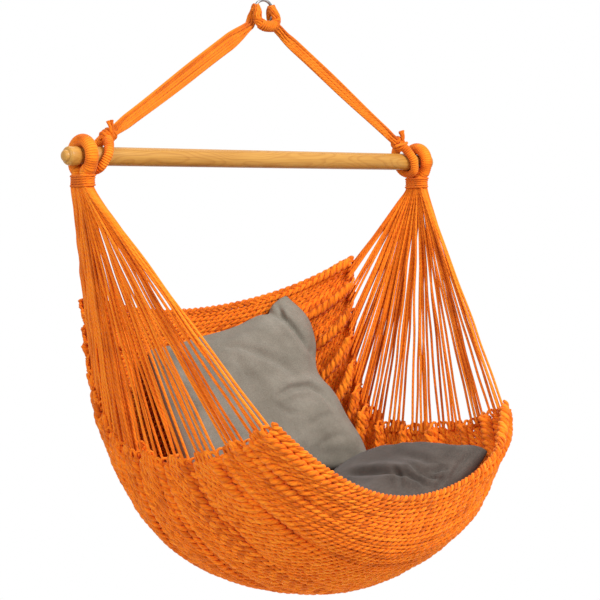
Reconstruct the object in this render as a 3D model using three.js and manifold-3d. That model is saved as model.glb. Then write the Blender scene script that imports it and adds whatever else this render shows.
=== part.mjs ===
// Hanging hammock chair: a steel ring, a cord bridle, a round wooden bar, and a net seat that
// hangs from the bar on two fans of cords, with two loose cushions in it.
// Millimetres, +Z up, X along the bar, the seat's open front towards -Y.
// The origin is the top of the ring's eye, where the hook bears.

import * as THREE from "three";
import Module from "manifold-3d";

const wasm = await Module();
wasm.setup();

// Cords and clearances
const CORD = 5; // single cord of the fans and the bridle
const TOUCH = 0.4; // gap between pieces that touch
const OVERRUN = 4; // how far a cut runs past the face it opens

// Ring
const RING_EYE = 42; // clear eye of the ring
const RING_WIRE = 6;

// Bridle: the hitch on the ring, two legs, their knots and the eyes round the bar
const BAR_DROP = 312; // hook's bearing point down to the bar's axis
const HITCH_WIDTH = 19; // bundle of bridle cords where it wraps the ring
const HITCH_THICKNESS = 8;
const LEG_CORDS = 6;
const LEG_ROW_PITCH = 4.4; // cords side by side at the hitch, pressed into each other
const LEFT_LEG_SPREAD = 40; // width of the loose left leg at its middle
const RIGHT_LEG_SPREAD = 27;
const LEG_LOOSENESS = 3; // how far alternate cords stand to the front and back
const BRIDLE_EYE_ROPE = 16;
const EYE_SPACING = 37; // arm eye to where the bridle eye's plane meets the bar's axis
const BRIDLE_EYE_LEAN = 24.5; // degrees that the eye leans inwards
const BRIDLE_EYE_RISE = 38; // bar's axis up to the eye's peak, along the lean
const KNOT_RADIUS = 16;
const KNOT_OFFSET = 4.5; // knot's centre past the eye's peak, towards the ring
const TAIL_CORD = 11;
const TAIL_LENGTH = 30;

// Bar
const BAR_LENGTH = 980;
const BAR_DIAMETER = 35;
const BAR_EDGE = 4; // rounding of the bar's ends
const NUB_DIAMETER = 22;
const NUB_LENGTH = 8;
const GROOVE_DEPTH = 2; // shallow seat for each arm eye
const GROOVE_WIDTH = 27;

// Arm eyes and seizings
const ARM_INSET = 45; // end of the bar to the middle of each arm eye
const ARM_ROPE = 25;
const ARM_DROP = 51; // bar's axis down to the ends of the eye's legs
const SEIZING_CORD = 4.2;
const SEIZING_TURNS = 3;
const SEIZING_GAP = 0.5; // between turns

// Fans of cords
const CLUMPS = 12; // gathers along each side of the net, one group of cords each
const ROOT_PITCH = 5.3; // groups along the root, under the seizing
const ROOT_CORD_PITCH = 4.6; // four cords of a group, pressed together at the root
const ROOT_STUB = 9; // straight length of the root
const HAIRPIN_RADIUS = 10; // turn of a cord through the net's edge
const HAIRPIN_PITCH = 6; // two turns side by side in one eyelet
const HAIRPIN_LEG = 15; // straight length above the net's edge
const EYELET_BRIDGE = 1.5; // turn's centre below the net's edge
const EYELET_SLACK = 3; // room above the turn in its eyelet

// Net
const NET_HALF_WIDTH = 362; // at the back corners
const NET_REACH = 440; // bar's axis forward to the front rim
const NET_DROP = 832; // bar's axis down to the lowest of the net
const NET_THICKNESS = 9;
const RIM_CORD = 12;
const PLEAT = 7; // height of the pleats at the net's sides
const SCALLOP = 15; // depth of the notches between the gathers

// Cushions
const BACK_CUSHION_WIDTH = 430;
const BACK_CUSHION_DEPTH = 372;
const BACK_CUSHION_CROWN = 120;
const SEAT_CUSHION_WIDTH = 480;
const SEAT_CUSHION_DEPTH = 365;
const SEAT_CUSHION_CROWN = 165;
const COVER_WALL = 1.6;
const FILL_GAP = 0.6;
const REST_GAP = 0.8; // a cushion's clearance to what it rests on
const SLIT_LENGTH = 300; // opening of the cover for its filling
const SLIT_HEIGHT = 3;
const SLIT_DEPTH = 16;

// Values worked out from the sizes
const ringRadius = (RING_EYE + RING_WIRE) / 2;
const ringCentre = new THREE.Vector3(0, 0, -RING_EYE / 2);
const barRadius = BAR_DIAMETER / 2;
const grooveRadius = barRadius - GROOVE_DEPTH;
const armX = BAR_LENGTH / 2 - ARM_INSET;
const bridleEyeX = armX - EYE_SPACING;
const xAxis = new THREE.Vector3(1, 0, 0);
const yAxis = new THREE.Vector3(0, 1, 0);
const zAxis = new THREE.Vector3(0, 0, 1);

// Finishes
const finish = (color, roughness, metalness) =>
  new THREE.MeshStandardMaterial({ color, roughness, metalness });
const orangeCord = () => finish(0xf07a20, 0.85, 0);
const steel = () => finish(0x8c8f92, 0.35, 0.9);
const wood = () => finish(0xd9a765, 0.55, 0);
const lightFabric = () => finish(0x9a958a, 0.9, 0);
const darkFabric = () => finish(0x5d5651, 0.9, 0);
const filling = () => finish(0xf1efe8, 0.95, 0);

const chair = new THREE.Group();

function add(name, geometry, material) {
  const mesh = new THREE.Mesh(geometry, material);
  mesh.name = name;
  chair.add(mesh);
  return mesh;
}

// Closed surface from points and triangles
function surface(points, triangles) {
  const position = new Float32Array(points.flatMap((p) => [p.x, p.y, p.z]));
  return new THREE.BufferGeometry()
    .setAttribute("position", new THREE.BufferAttribute(position, 3))
    .setIndex(triangles);
}

function solid(geometry) {
  return new wasm.Manifold(
    new wasm.Mesh({
      numProp: 3,
      vertProperties: new Float32Array(geometry.attributes.position.array),
      triVerts: new Uint32Array(geometry.index.array),
    }),
  );
}

function geometryOf(body) {
  const { vertProperties, triVerts } = body.getMesh();
  return new THREE.BufferGeometry()
    .setAttribute("position", new THREE.BufferAttribute(new Float32Array(vertProperties), 3))
    .setIndex(new THREE.BufferAttribute(new Uint32Array(triVerts), 1));
}

// A fused body with the little closed pockets between its cords filled
function outerShell(body) {
  const shells = body.decompose();
  return shells.reduce((most, shell) => (shell.volume() > most.volume() ? shell : most));
}

// Box between two corners given in a local frame, as a solid
function boxIn(frame, low, high) {
  const corners = [];
  for (const z of [low.z, high.z])
    for (const y of [low.y, high.y])
      for (const x of [low.x, high.x]) corners.push(new THREE.Vector3(x, y, z).applyMatrix4(frame));
  const faces = [
    [0, 2, 3], [0, 3, 1], [4, 5, 7], [4, 7, 6], [0, 1, 5], [0, 5, 4],
    [2, 6, 7], [2, 7, 3], [0, 4, 6], [0, 6, 2], [1, 3, 7], [1, 7, 5],
  ];
  return solid(surface(corners, faces.flat()));
}

// Sweeps an oval of sides corners along the points. wide(i) is the direction of the oval's
// width there, and half(i) its half width and half thickness. A closed run has no end caps.
function sweep(points, sides, wide, half, closed = false) {
  const count = points.length;
  const rings = [];
  const at = (i) => points[closed ? (i + count) % count : Math.min(Math.max(i, 0), count - 1)];
  for (let i = 0; i < count; i++) {
    const along = at(i + 1).clone().sub(at(i - 1)).normalize();
    const across = wide(i).clone();
    across.addScaledVector(along, -across.dot(along)).normalize();
    const over = along.clone().cross(across);
    const [a, b] = half(i);
    for (let k = 0; k < sides; k++) {
      const turn = (2 * Math.PI * k) / sides;
      rings.push(
        points[i]
          .clone()
          .addScaledVector(across, a * Math.cos(turn))
          .addScaledVector(over, b * Math.sin(turn)),
      );
    }
  }
  const faces = [];
  for (let i = 0; i < (closed ? count : count - 1); i++)
    for (let k = 0; k < sides; k++) {
      const next = ((i + 1) % count) * sides;
      const [p, q] = [i * sides + k, i * sides + ((k + 1) % sides)];
      const [r, s] = [next + ((k + 1) % sides), next + k];
      faces.push(p, q, r, p, r, s);
    }
  if (!closed)
    for (let k = 1; k < sides - 1; k++) {
      const last = (count - 1) * sides;
      faces.push(0, k + 1, k, last, last + k, last + k + 1);
    }
  return surface(rings, faces);
}

const rope = (points, diameter, sides, across, closed) =>
  sweep(points, sides, () => across, () => [diameter / 2, diameter / 2], closed);

const curvePoints = (points, steps, closed = false) =>
  new THREE.CatmullRomCurve3(points, closed, "centripetal")
    .getSpacedPoints(steps)
    .slice(0, closed ? steps : steps + 1);

// Ring of round steel wire, upright in the plane of the bridle
function ring(extra) {
  const wireSides = 8;
  const steps = 24;
  const points = [];
  for (let i = 0; i < steps; i++) {
    const turn = (2 * Math.PI * i) / steps;
    points.push(
      ringCentre
        .clone()
        .addScaledVector(xAxis, ringRadius * Math.cos(turn))
        .addScaledVector(zAxis, ringRadius * Math.sin(turn)),
    );
  }
  return rope(points, RING_WIRE + 2 * extra, wireSides, yAxis, true);
}

// Cow hitch of the bridle on the ring: behind the ring, through its eye, down the front, and
// across as a bridge under the ring. Places are shares of the ring's radius from its centre.
const hitchRouteShares = [
  [-2.5, 0.12, -1.88], [-1.86, 0.13, -1.49], [-1.5, 0.42, -0.85], [-1.12, 0.46, -0.05],
  [-0.66, 0.02, 0.14], [-0.66, -0.4, -0.2], [-0.92, -0.52, -0.76], [-0.6, -0.66, -1.24],
  [0, -0.7, -1.36],
];
const hitchEnd = (side) => {
  const [x, y, z] = hitchRouteShares[0];
  return new THREE.Vector3(-side * x, y, z).multiplyScalar(ringRadius).add(ringCentre);
};

function hitch() {
  const half = hitchRouteShares.map(([x, y, z]) =>
    new THREE.Vector3(x, y, z).multiplyScalar(ringRadius).add(ringCentre),
  );
  const mirrored = half.slice(0, -1).reverse().map((p) => new THREE.Vector3(-p.x, p.y, p.z));
  const steps = 32;
  const points = curvePoints([...half, ...mirrored], steps);
  const wide = (i) => {
    const side = i < steps / 2 ? 1 : -1;
    const out = Math.min(1, Math.abs(points[i].x) / (2 * ringRadius));
    return new THREE.Vector3(-side * out, 0, 2 - out);
  };
  const size = (i) => {
    const inEye = Math.max(0, 1 - Math.hypot(points[i].y, points[i].z - ringCentre.z) / ringRadius);
    return [(HITCH_WIDTH / 2) * (1 - inEye / 4), HITCH_THICKNESS / 2];
  };
  return solid(sweep(points, 8, wide, size)).subtract(solid(ring(TOUCH)));
}

// Bridle eye: a closed loop round the bar in a plane that leans inwards to the knot.
// Places are shares: across the bar of the loop's half width, up of its foot and its rise.
const eyeRope = BRIDLE_EYE_ROPE / 2;
const lean = THREE.MathUtils.degToRad(BRIDLE_EYE_LEAN);
const leanAxis = (side) => new THREE.Vector3(-side * Math.sin(lean), 0, Math.cos(lean));
const eyeCentre = (side) => new THREE.Vector3(side * bridleEyeX, 0, -BAR_DROP);
const eyePeak = (side) => eyeCentre(side).addScaledVector(leanAxis(side), BRIDLE_EYE_RISE);
const legDirection = (side) => hitchEnd(side).sub(eyePeak(side)).normalize();
const knotCentre = (side) => eyePeak(side).addScaledVector(legDirection(side), KNOT_OFFSET);

const bridleEyeShares = [
  [0, -1], [0.69, -0.76], [1, -0.1], [0.96, 0.26], [0.71, 0.58], [0.38, 0.86], [0, 1],
];

function bridleEye(side, extra) {
  const halfWidth = barRadius + TOUCH + eyeRope + TOUCH;
  const foot = (barRadius + TOUCH + eyeRope) / Math.cos(lean) + TOUCH;
  const place = ([across, up]) =>
    eyeCentre(side)
      .addScaledVector(yAxis, across * halfWidth)
      .addScaledVector(leanAxis(side), up < 0 ? up * foot : up * BRIDLE_EYE_RISE);
  const right = bridleEyeShares.map(place);
  const left = bridleEyeShares.slice(1, -1).reverse().map(([a, u]) => place([-a, u]));
  const normal = leanAxis(side).cross(yAxis);
  const points = curvePoints([...right, ...left], 22, true);
  return rope(points, BRIDLE_EYE_ROPE + 2 * extra, 8, normal, true);
}

// Leg of the bridle: single cords, pressed together in a row at the hitch and in a bunch at
// the knot, and loose between
function bridleLeg(side, spread) {
  const direction = legDirection(side);
  const top = hitchEnd(side).addScaledVector(direction, -2 * TOUCH);
  const foot = knotCentre(side).addScaledVector(direction, eyeRope + 3 * TOUCH - KNOT_OFFSET);
  const across = yAxis.clone().cross(direction).normalize();
  const bunch = CORD - TOUCH;
  let leg;
  for (let k = 0; k < LEG_CORDS; k++) {
    const row = k - (LEG_CORDS - 1) / 2;
    const turn = (2 * Math.PI * (k + 0.5)) / LEG_CORDS;
    const loose = row / ((LEG_CORDS - 1) / 2);
    const front = k % 2 ? LEG_LOOSENESS : -LEG_LOOSENESS;
    const offset = (from, w, y) => from.clone().addScaledVector(across, w).addScaledVector(yAxis, y);
    const middleWidth = (loose * (spread - CORD)) / 2;
    const points = curvePoints(
      [
        offset(top, row * LEG_ROW_PITCH, 0),
        offset(top.clone().lerp(foot, 0.06), row * LEG_ROW_PITCH, 0),
        offset(top.clone().lerp(foot, 0.4), middleWidth, front),
        offset(top.clone().lerp(foot, 0.7), middleWidth * 0.8, front),
        offset(foot.clone().lerp(top, 0.06), bunch * Math.cos(turn), bunch * Math.sin(turn)),
        offset(foot, bunch * Math.cos(turn), bunch * Math.sin(turn)),
      ],
      7,
    );
    const cord = solid(rope(points, CORD, 6, yAxis, false));
    leg = leg ? leg.add(cord) : cord;
  }
  return leg;
}

// Knot that binds a leg to its eye, with the cord's short tail, hollowed for what it grips
function bridleKnot(side) {
  const direction = legDirection(side);
  const centre = knotCentre(side);
  const ball = [];
  const layers = 9;
  for (let i = 0; i <= layers; i++) {
    const share = Math.sin((Math.PI * (i + 0.35)) / (layers + 0.7));
    const place = (2 * i) / layers - 1;
    ball.push({
      point: centre.clone().addScaledVector(direction, place * KNOT_RADIUS),
      radius: KNOT_RADIUS * Math.max(share, 0.3) * (1 + 0.06 * Math.cos(i * Math.PI)),
    });
  }
  const wraps = sweep(
    ball.map((b) => b.point), 12, () => yAxis, (i) => [ball[i].radius, ball[i].radius]);
  const tailStart = centre.clone().addScaledVector(yAxis, -TAIL_CORD / 3);
  const tailEnd = tailStart
    .clone()
    .addScaledVector(zAxis, TAIL_LENGTH)
    .addScaledVector(xAxis, side * TAIL_LENGTH * 0.12);
  const tail = rope([tailStart, tailStart.clone().lerp(tailEnd, 0.5), tailEnd], TAIL_CORD, 8, xAxis);
  const gripLength = KNOT_RADIUS + TAIL_LENGTH;
  const grip = rope(
    [
      centre.clone().addScaledVector(direction, eyeRope - KNOT_OFFSET),
      centre.clone().addScaledVector(direction, gripLength),
    ],
    3 * CORD + 3 * TOUCH, 12, yAxis);
  return solid(wraps)
    .add(solid(tail))
    .subtract(solid(bridleEye(side, TOUCH)))
    .subtract(solid(grip));
}

// Bar: a turned dowel with rounded ends, a nub on each end and a shallow seat for each arm eye
function bar() {
  const half = BAR_LENGTH / 2;
  const shoulder = half - NUB_LENGTH;
  const nub = NUB_DIAMETER / 2;
  const nubEdge = NUB_LENGTH / 3;
  const right = [
    [half, 0], [half, nub - nubEdge], [half - nubEdge, nub], [shoulder, nub],
    [shoulder, barRadius - BAR_EDGE], [shoulder - BAR_EDGE / 3, barRadius - BAR_EDGE / 3],
    [shoulder - BAR_EDGE, barRadius], [armX + GROOVE_WIDTH / 2, barRadius],
    [armX + GROOVE_WIDTH / 2 - GROOVE_DEPTH, grooveRadius],
    [armX - GROOVE_WIDTH / 2 + GROOVE_DEPTH, grooveRadius],
    [armX - GROOVE_WIDTH / 2, barRadius],
  ];
  const left = right.map(([x, r]) => [-x, r]).reverse();
  const profile = [...right, ...left].reverse().map(([x, r]) => new THREE.Vector2(r, x));
  const segments = 20;
  const rings = profile.slice(1, -1);
  const points = [];
  for (const p of rings)
    for (let k = 0; k < segments; k++) {
      const turn = (2 * Math.PI * k) / segments;
      points.push(new THREE.Vector3(p.y, p.x * Math.cos(turn), p.x * Math.sin(turn)));
    }
  const faces = [];
  for (let i = 0; i < rings.length - 1; i++)
    for (let k = 0; k < segments; k++) {
      const next = (k + 1) % segments;
      const [p, q, r, s] = [i * segments + k, i * segments + next, (i + 1) * segments + next,
        (i + 1) * segments + k];
      faces.push(p, q, r, p, r, s);
    }
  for (const [ringStart, end] of [[0, 0], [(rings.length - 1) * segments, 1]]) {
    points.push(new THREE.Vector3(end ? half : -half, 0, 0));
    for (let k = 0; k < segments; k++) {
      const [a, b] = [ringStart + k, ringStart + ((k + 1) % segments)];
      faces.push(points.length - 1, end ? a : b, end ? b : a);
    }
  }
  const mesh = add("spreader_bar", surface(points, faces), wood());
  mesh.position.z = -BAR_DROP;
}

// Arm eye: a served rope over the bar, its two legs brought side by side under it
const armRope = ARM_ROPE / 2;
const armTurn = grooveRadius + TOUCH + armRope;
const legGap = armRope + TOUCH;

function armEye(side) {
  const points = [];
  const place = (y, z) => points.push(new THREE.Vector3(side * armX, y, z - BAR_DROP));
  const straight = 0.36 * ARM_DROP;
  place(-legGap, -ARM_DROP);
  place(-legGap, straight - ARM_DROP);
  const dip = THREE.MathUtils.degToRad(12);
  const shoulder = (sign) => place(sign * armTurn * 0.76, -armTurn * 0.76);
  shoulder(-1);
  const steps = 10;
  for (let i = 0; i <= steps; i++) {
    const turn = -dip + ((Math.PI + 2 * dip) * i) / steps;
    place(-armTurn * Math.cos(turn), armTurn * Math.sin(turn));
  }
  shoulder(1);
  place(legGap, straight - ARM_DROP);
  place(legGap, -ARM_DROP);
  return rope(points, ARM_ROPE, 10, xAxis);
}

// Seizing: one cord wound round the two legs of an arm eye. Its least gap to itself is measured
// on the points of its middle line.
function seizing(side) {
  const reach = armRope + 2 * TOUCH + SEIZING_CORD / 2;
  const pitch = SEIZING_CORD + SEIZING_GAP;
  const stepsPerTurn = 16;
  const steps = SEIZING_TURNS * stepsPerTurn;
  const foot = -BAR_DROP - ARM_DROP + SEIZING_CORD / 2 + TOUCH;
  const points = [];
  for (let i = 0; i <= steps; i++) {
    const turn = (2 * Math.PI * i) / stepsPerTurn;
    const end = Math.sign(Math.sin(turn)) * Math.min(1, Math.abs(Math.sin(turn)) * 4) * legGap;
    points.push(
      new THREE.Vector3(
        side * armX + reach * Math.cos(turn),
        end + reach * Math.sin(turn),
        foot + (pitch * i) / stepsPerTurn,
      ),
    );
  }
  let gap = Infinity;
  for (let i = 0; i < points.length; i++)
    for (let j = i + stepsPerTurn / 2; j < points.length; j++)
      gap = Math.min(gap, points[i].distanceTo(points[j]) - SEIZING_CORD);
  console.log("least gap of the seizing's cord to itself", gap.toFixed(2), "mm");
  return rope(points, SEIZING_CORD, 5, zAxis);
}

// Net: one sheet, given by its side edges and its middle line from the back rim to the front
// rim. Rows are [across, forward and back, down from the bar] as shares of the net's half width,
// reach and drop.
const rightEdgeShares = [
  [1, 0.25, 0.25], [0.98, 0.24, 0.36], [0.96, 0.21, 0.48], [0.95, 0.15, 0.59],
  [0.96, 0.02, 0.66], [0.96, -0.26, 0.66], [0.97, -0.56, 0.63], [0.94, -0.78, 0.58],
];
const leftEdgeShares = [
  [0.96, 0.28, 0.31], [0.95, 0.26, 0.42], [0.93, 0.22, 0.54], [0.9, 0.13, 0.63],
  [0.91, -0.03, 0.66], [0.91, -0.31, 0.66], [0.9, -0.6, 0.62], [0.88, -0.85, 0.56],
];
const middleShares = [
  [-0.06, 0.52, 0.38], [-0.03, 0.53, 0.55], [0, 0.48, 0.73], [0, 0.29, 0.9],
  [-0.04, -0.02, 1], [0.03, -0.51, 1], [0.03, -0.88, 0.89], [-0.02, -1, 0.75],
];
const RIM_SWEEP = THREE.MathUtils.degToRad(48); // half turn of the sheet's section at the rims
const SEAT_SWEEP = THREE.MathUtils.degToRad(86); // and under the seat

const netLine = (shares) =>
  new THREE.CatmullRomCurve3(
    shares.map(([x, y, z]) =>
      new THREE.Vector3(x * NET_HALF_WIDTH, y * NET_REACH, -z * NET_DROP - BAR_DROP)),
    false, "catmullrom", 0.5);
const rightEdge = netLine(rightEdgeShares);
const leftEdge = netLine(leftEdgeShares);
const middle = netLine(middleShares);

// Point of the sheet: u from -1 at the left edge to 1 at the right, v from 0 at the back rim to 1
function netPoint(u, v) {
  const sweepHere = RIM_SWEEP + (SEAT_SWEEP - RIM_SWEEP) * Math.sqrt(Math.sin(Math.PI * v));
  const turn = u * sweepHere;
  const across = Math.sin(turn) / Math.sin(sweepHere);
  const edge = leftEdge.getPoint(v).lerp(rightEdge.getPoint(v), (1 + across) / 2);
  const centre = middle.getPoint(v);
  const hang = (Math.cos(turn) - Math.cos(sweepHere)) / (1 - Math.cos(sweepHere));
  const bulge = 1 - Math.abs(across) ** (2 + 2 * v);
  return new THREE.Vector3(
    edge.x * across + centre.x * (1 - across * across),
    THREE.MathUtils.lerp(edge.y, centre.y, bulge),
    THREE.MathUtils.lerp(edge.z, centre.z, hang),
  );
}

// Share of the half sheet over which its slope is taken
const FRAME_REACH = 0.09;

// Frame on the sheet: right along its width, front towards the front rim, out towards the sitter
function netFrame(u, v) {
  const [u0, u1] = [Math.max(u - FRAME_REACH, -1), Math.min(u + FRAME_REACH, 1)];
  const [v0, v1] = [Math.max(v - FRAME_REACH / 9, 0), Math.min(v + FRAME_REACH / 9, 1)];
  const right = netPoint(u1, v).sub(netPoint(u0, v)).normalize();
  const front = netPoint(u, v1).sub(netPoint(u, v0)).normalize();
  const out = front.clone().cross(right).normalize();
  return { point: netPoint(u, v), right, front, out };
}

// Pleats run in from the gathers at the sides and die out towards the middle, and the side
// edges are notched between the gathers
const PLEAT_START = 0.3; // share of the half width where the pleats begin
function pleated(u, v) {
  const { point, right, front, out } = netFrame(u, v);
  const fade = Math.max(0, (Math.abs(u) - PLEAT_START) / (1 - PLEAT_START)) ** 2;
  const wave = -Math.cos(2 * Math.PI * CLUMPS * v);
  const atEdge = Math.max(0, (Math.abs(u) - 0.8) / 0.2);
  point.addScaledVector(out, PLEAT * fade * wave * (1 - 0.9 * atEdge));
  point.addScaledVector(right, (-Math.sign(u) * atEdge * SCALLOP * (1 - wave)) / 2);
  return { point, right, front, out };
}

const rimSeat = RIM_CORD / 2 + 2.5 * TOUCH; // rim cord's middle to the sheet's edge
const NET_COLUMNS = 10;

function netSheet() {
  const [across, along] = [NET_COLUMNS, 4 * CLUMPS];
  const points = [];
  for (const face of [1, -1])
    for (let j = 0; j <= along; j++)
      for (let i = 0; i <= across; i++) {
        const { point, right, front, out } = pleated((2 * i) / across - 1, j / along);
        const trim = j === 0 ? rimSeat : j === along ? -rimSeat : 0;
        const inward = front.clone().addScaledVector(right, -front.dot(right)).normalize();
        points.push(point.addScaledVector(out, (face * NET_THICKNESS) / 2).addScaledVector(inward, trim));
      }
  const row = across + 1;
  const half = row * (along + 1);
  const faces = [];
  const quad = (a, b, c, d) => faces.push(a, b, c, a, c, d);
  for (let j = 0; j < along; j++)
    for (let i = 0; i < across; i++) {
      const a = j * row + i;
      quad(a, a + row, a + row + 1, a + 1);
      quad(half + a, half + a + 1, half + a + row + 1, half + a + row);
    }
  for (let i = 0; i < across; i++) {
    const b = along * row + i;
    quad(i, i + 1, half + i + 1, half + i);
    quad(b, half + b, half + b + 1, b + 1);
  }
  for (let j = 0; j < along; j++) {
    const [a, b] = [j * row, j * row + across];
    quad(a, half + a, half + a + row, a + row);
    quad(b, b + row, half + b + row, half + b);
  }
  return solid(surface(points, faces));
}

// Where a group of fan cords turns through the net's edge, leaning towards the root of the fan
const eyeletHalfWidth = HAIRPIN_PITCH / 2 + CORD / 2 + 2 * TOUCH;
const GATHER_LEAN = THREE.MathUtils.degToRad(38);
function gather(side, k) {
  const v = (k + 0.5) / CLUMPS;
  const { point, front } = pleated(side, v);
  const up = point.clone().sub(pleated(side * (1 - 2 / NET_COLUMNS), v).point);
  up.addScaledVector(front, -up.dot(front)).normalize();
  const out = front.clone().cross(up).multiplyScalar(side);
  const toRoot = new THREE.Vector3(side * armX, 0, -BAR_DROP - ARM_DROP).sub(point);
  const lean = Math.atan2(toRoot.dot(front), toRoot.dot(up));
  const turn = THREE.MathUtils.clamp(lean, -GATHER_LEAN, GATHER_LEAN);
  const tip = (way) => way.applyAxisAngle(out, -side * turn);
  const sink = EYELET_BRIDGE + eyeletHalfWidth * Math.tan(Math.abs(turn));
  return { point, up: tip(up), along: tip(front.clone()), out, sink };
}

function eyelet({ point, up, along, out, sink }) {
  const frame = new THREE.Matrix4().makeBasis(along, out, along.clone().cross(out)).setPosition(point);
  const upward = Math.sign(along.clone().cross(out).dot(up));
  const halfCord = CORD / 2;
  const atFace = Math.sqrt(HAIRPIN_RADIUS ** 2 - (NET_THICKNESS / 2) ** 2);
  const top = atFace - (halfCord * HAIRPIN_RADIUS) / atFace - EYELET_SLACK + sink;
  const bottom = HAIRPIN_RADIUS + halfCord + TOUCH + sink;
  const heights = [-upward * bottom, -upward * top].sort((a, b) => a - b);
  const depth = NET_THICKNESS / 2 + OVERRUN;
  return boxIn(frame, new THREE.Vector3(-eyeletHalfWidth, -depth, heights[0]),
    new THREE.Vector3(eyeletHalfWidth, depth, heights[1]));
}

// One group of a fan: a cord that runs down, turns through the eyelet and runs up again, twice,
// so four cords, pressed together at the root
const rootSlotShares = [1.5, 0.5];
function fanGroup(side, k) {
  const { point, up, along, out, sink } = gather(side, k);
  const turnSteps = 3;
  const rootY = ((CLUMPS - 1) / 2 - k) * ROOT_PITCH;
  const rootZ = -BAR_DROP - ARM_DROP - TOUCH;
  const outward = Math.sign(out.x * side) || 1;
  let group;
  for (const pair of [0, 1]) {
    const lane = (pair - 0.5) * HAIRPIN_PITCH;
    const root = (leg, z) => {
      const slot = leg * outward * rootSlotShares[pair];
      return new THREE.Vector3(side * (armX + slot * ROOT_CORD_PITCH), rootY, z);
    };
    const centre = point.clone().addScaledVector(along, lane).addScaledVector(up, -sink);
    const leg = (sign, lift) =>
      centre.clone().addScaledVector(out, sign * HAIRPIN_RADIUS).addScaledVector(up, lift);
    const points = [root(1, rootZ), root(1, rootZ - ROOT_STUB), leg(1, HAIRPIN_LEG)];
    for (let i = 0; i <= turnSteps; i++) {
      const turn = (Math.PI * i) / turnSteps;
      points.push(
        centre
          .clone()
          .addScaledVector(out, HAIRPIN_RADIUS * Math.cos(turn))
          .addScaledVector(up, -HAIRPIN_RADIUS * Math.sin(turn)),
      );
    }
    points.push(leg(-1, HAIRPIN_LEG), root(-1, rootZ - ROOT_STUB), root(-1, rootZ));
    const cord = solid(rope(points, CORD, 5, along));
    group = group ? group.add(cord) : cord;
  }
  return group;
}

// Cord along a rim of the net, from corner to corner
function rimCord(v) {
  const points = [];
  for (let i = 0; i <= NET_COLUMNS; i++) points.push(netPoint((2 * i) / NET_COLUMNS - 1, v));
  const { out } = netFrame(0, v);
  return rope(points, RIM_CORD, 8, out);
}

// Cushion: a stuffed square, thickest in the middle, thin and drawn in along its sides between
// its corners. Its sides rise by bend and its front and back by curl. shrink is how far every
// face lies inside the cover's outer face.
const CUSHION_GRID = 10;
const SIDE_DRAW = 0.055; // how far the sides are drawn in, as a share
const CROWN_POWER = 0.42;
const SLOPE_ROOM = 1.35; // the inner faces keep their gap where the cushion bends
function pillow({ width, depth, crown, bend, curl }, shrink) {
  const n = CUSHION_GRID;
  const index = new Map();
  const points = [];
  const place = (i, j, face) => {
    const rim = i === 0 || j === 0 || i === n || j === n;
    const key = [i, j, rim ? 0 : face].join();
    if (!index.has(key)) {
      const [s, t] = [-Math.cos((Math.PI * i) / n), -Math.cos((Math.PI * j) / n)];
      const [si, ti] = [s * (1 - (2 * shrink) / width), t * (1 - (2 * shrink) / depth)];
      const x = si * (1 - SIDE_DRAW * (1 - ti * ti));
      const y = ti * (1 - SIDE_DRAW * (1 - si * si));
      const swell = ((1 - s * s) * (1 - t * t)) ** CROWN_POWER;
      const half = rim ? 0 : (crown / 2 - SLOPE_ROOM * shrink) * swell;
      const z = bend * x * x + curl * y * y + face * half;
      index.set(key, points.length);
      points.push(new THREE.Vector3((x * width) / 2, (y * depth) / 2, z));
    }
    return index.get(key);
  };
  const faces = [];
  for (let i = 0; i < n; i++)
    for (let j = 0; j < n; j++)
      for (const face of [1, -1]) {
        const [a, b] = [place(i, j, face), place(i + 1, j, face)];
        const [d, c] = [place(i, j + 1, face), place(i + 1, j + 1, face)];
        const halves = (i < n / 2) === (j < n / 2) ? [[a, b, c], [a, c, d]] : [[b, c, d], [b, d, a]];
        for (const [p, q, r] of halves) faces.push(p, ...(face > 0 ? [q, r] : [r, q]));
      }
  return surface(points, faces);
}

function cushionCover(size, slitSign) {
  const slit = boxIn(
    new THREE.Matrix4(),
    new THREE.Vector3(-SLIT_LENGTH / 2, -size.depth / 2 - OVERRUN, -SLIT_HEIGHT / 2),
    new THREE.Vector3(SLIT_LENGTH / 2, SLIT_DEPTH - size.depth / 2 + SIDE_DRAW * size.depth, SLIT_HEIGHT / 2),
  );
  const cover = solid(pillow(size, 0)).subtract(solid(pillow(size, COVER_WALL)));
  return cover.subtract(slitSign > 0 ? slit : slit.mirror([0, 1, 0]));
}

// Pose of a cushion: its width and its depth along two directions, which may be a little askew
function pose(centre, widthWay, depthWay) {
  const wide = new THREE.Vector3(...widthWay).normalize();
  const deep = new THREE.Vector3(...depthWay).normalize();
  const crown = wide.clone().cross(deep).normalize();
  return new THREE.Matrix4().makeBasis(wide, deep, crown).setPosition(centre);
}

// Corners of a geometry's triangles, with the middles of their edges
function probes({ attributes, index }) {
  const corner = (i) => new THREE.Vector3().fromBufferAttribute(attributes.position, index.getX(i));
  const found = [];
  for (let i = 0; i < index.count; i += 3) {
    const [a, b, c] = [corner(i), corner(i + 1), corner(i + 2)];
    for (const [p, q] of [[a, b], [b, c], [c, a]]) found.push(p, p.clone().lerp(q, 0.5));
  }
  return found;
}

// Least distance that a can move along way before it meets b
function clearWay(a, b, way) {
  const caster = new THREE.Raycaster();
  let least = Infinity;
  for (const [from, to, sign] of [[a, b, 1], [b, a, -1]]) {
    const ray = way.clone().multiplyScalar(sign);
    const target = new THREE.Mesh(to, new THREE.MeshBasicMaterial({ side: THREE.DoubleSide }));
    for (const probe of probes(from)) {
      caster.set(probe, ray);
      const [hit] = caster.intersectObject(target);
      if (hit) least = Math.min(least, hit.distance);
    }
  }
  return least;
}

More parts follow.
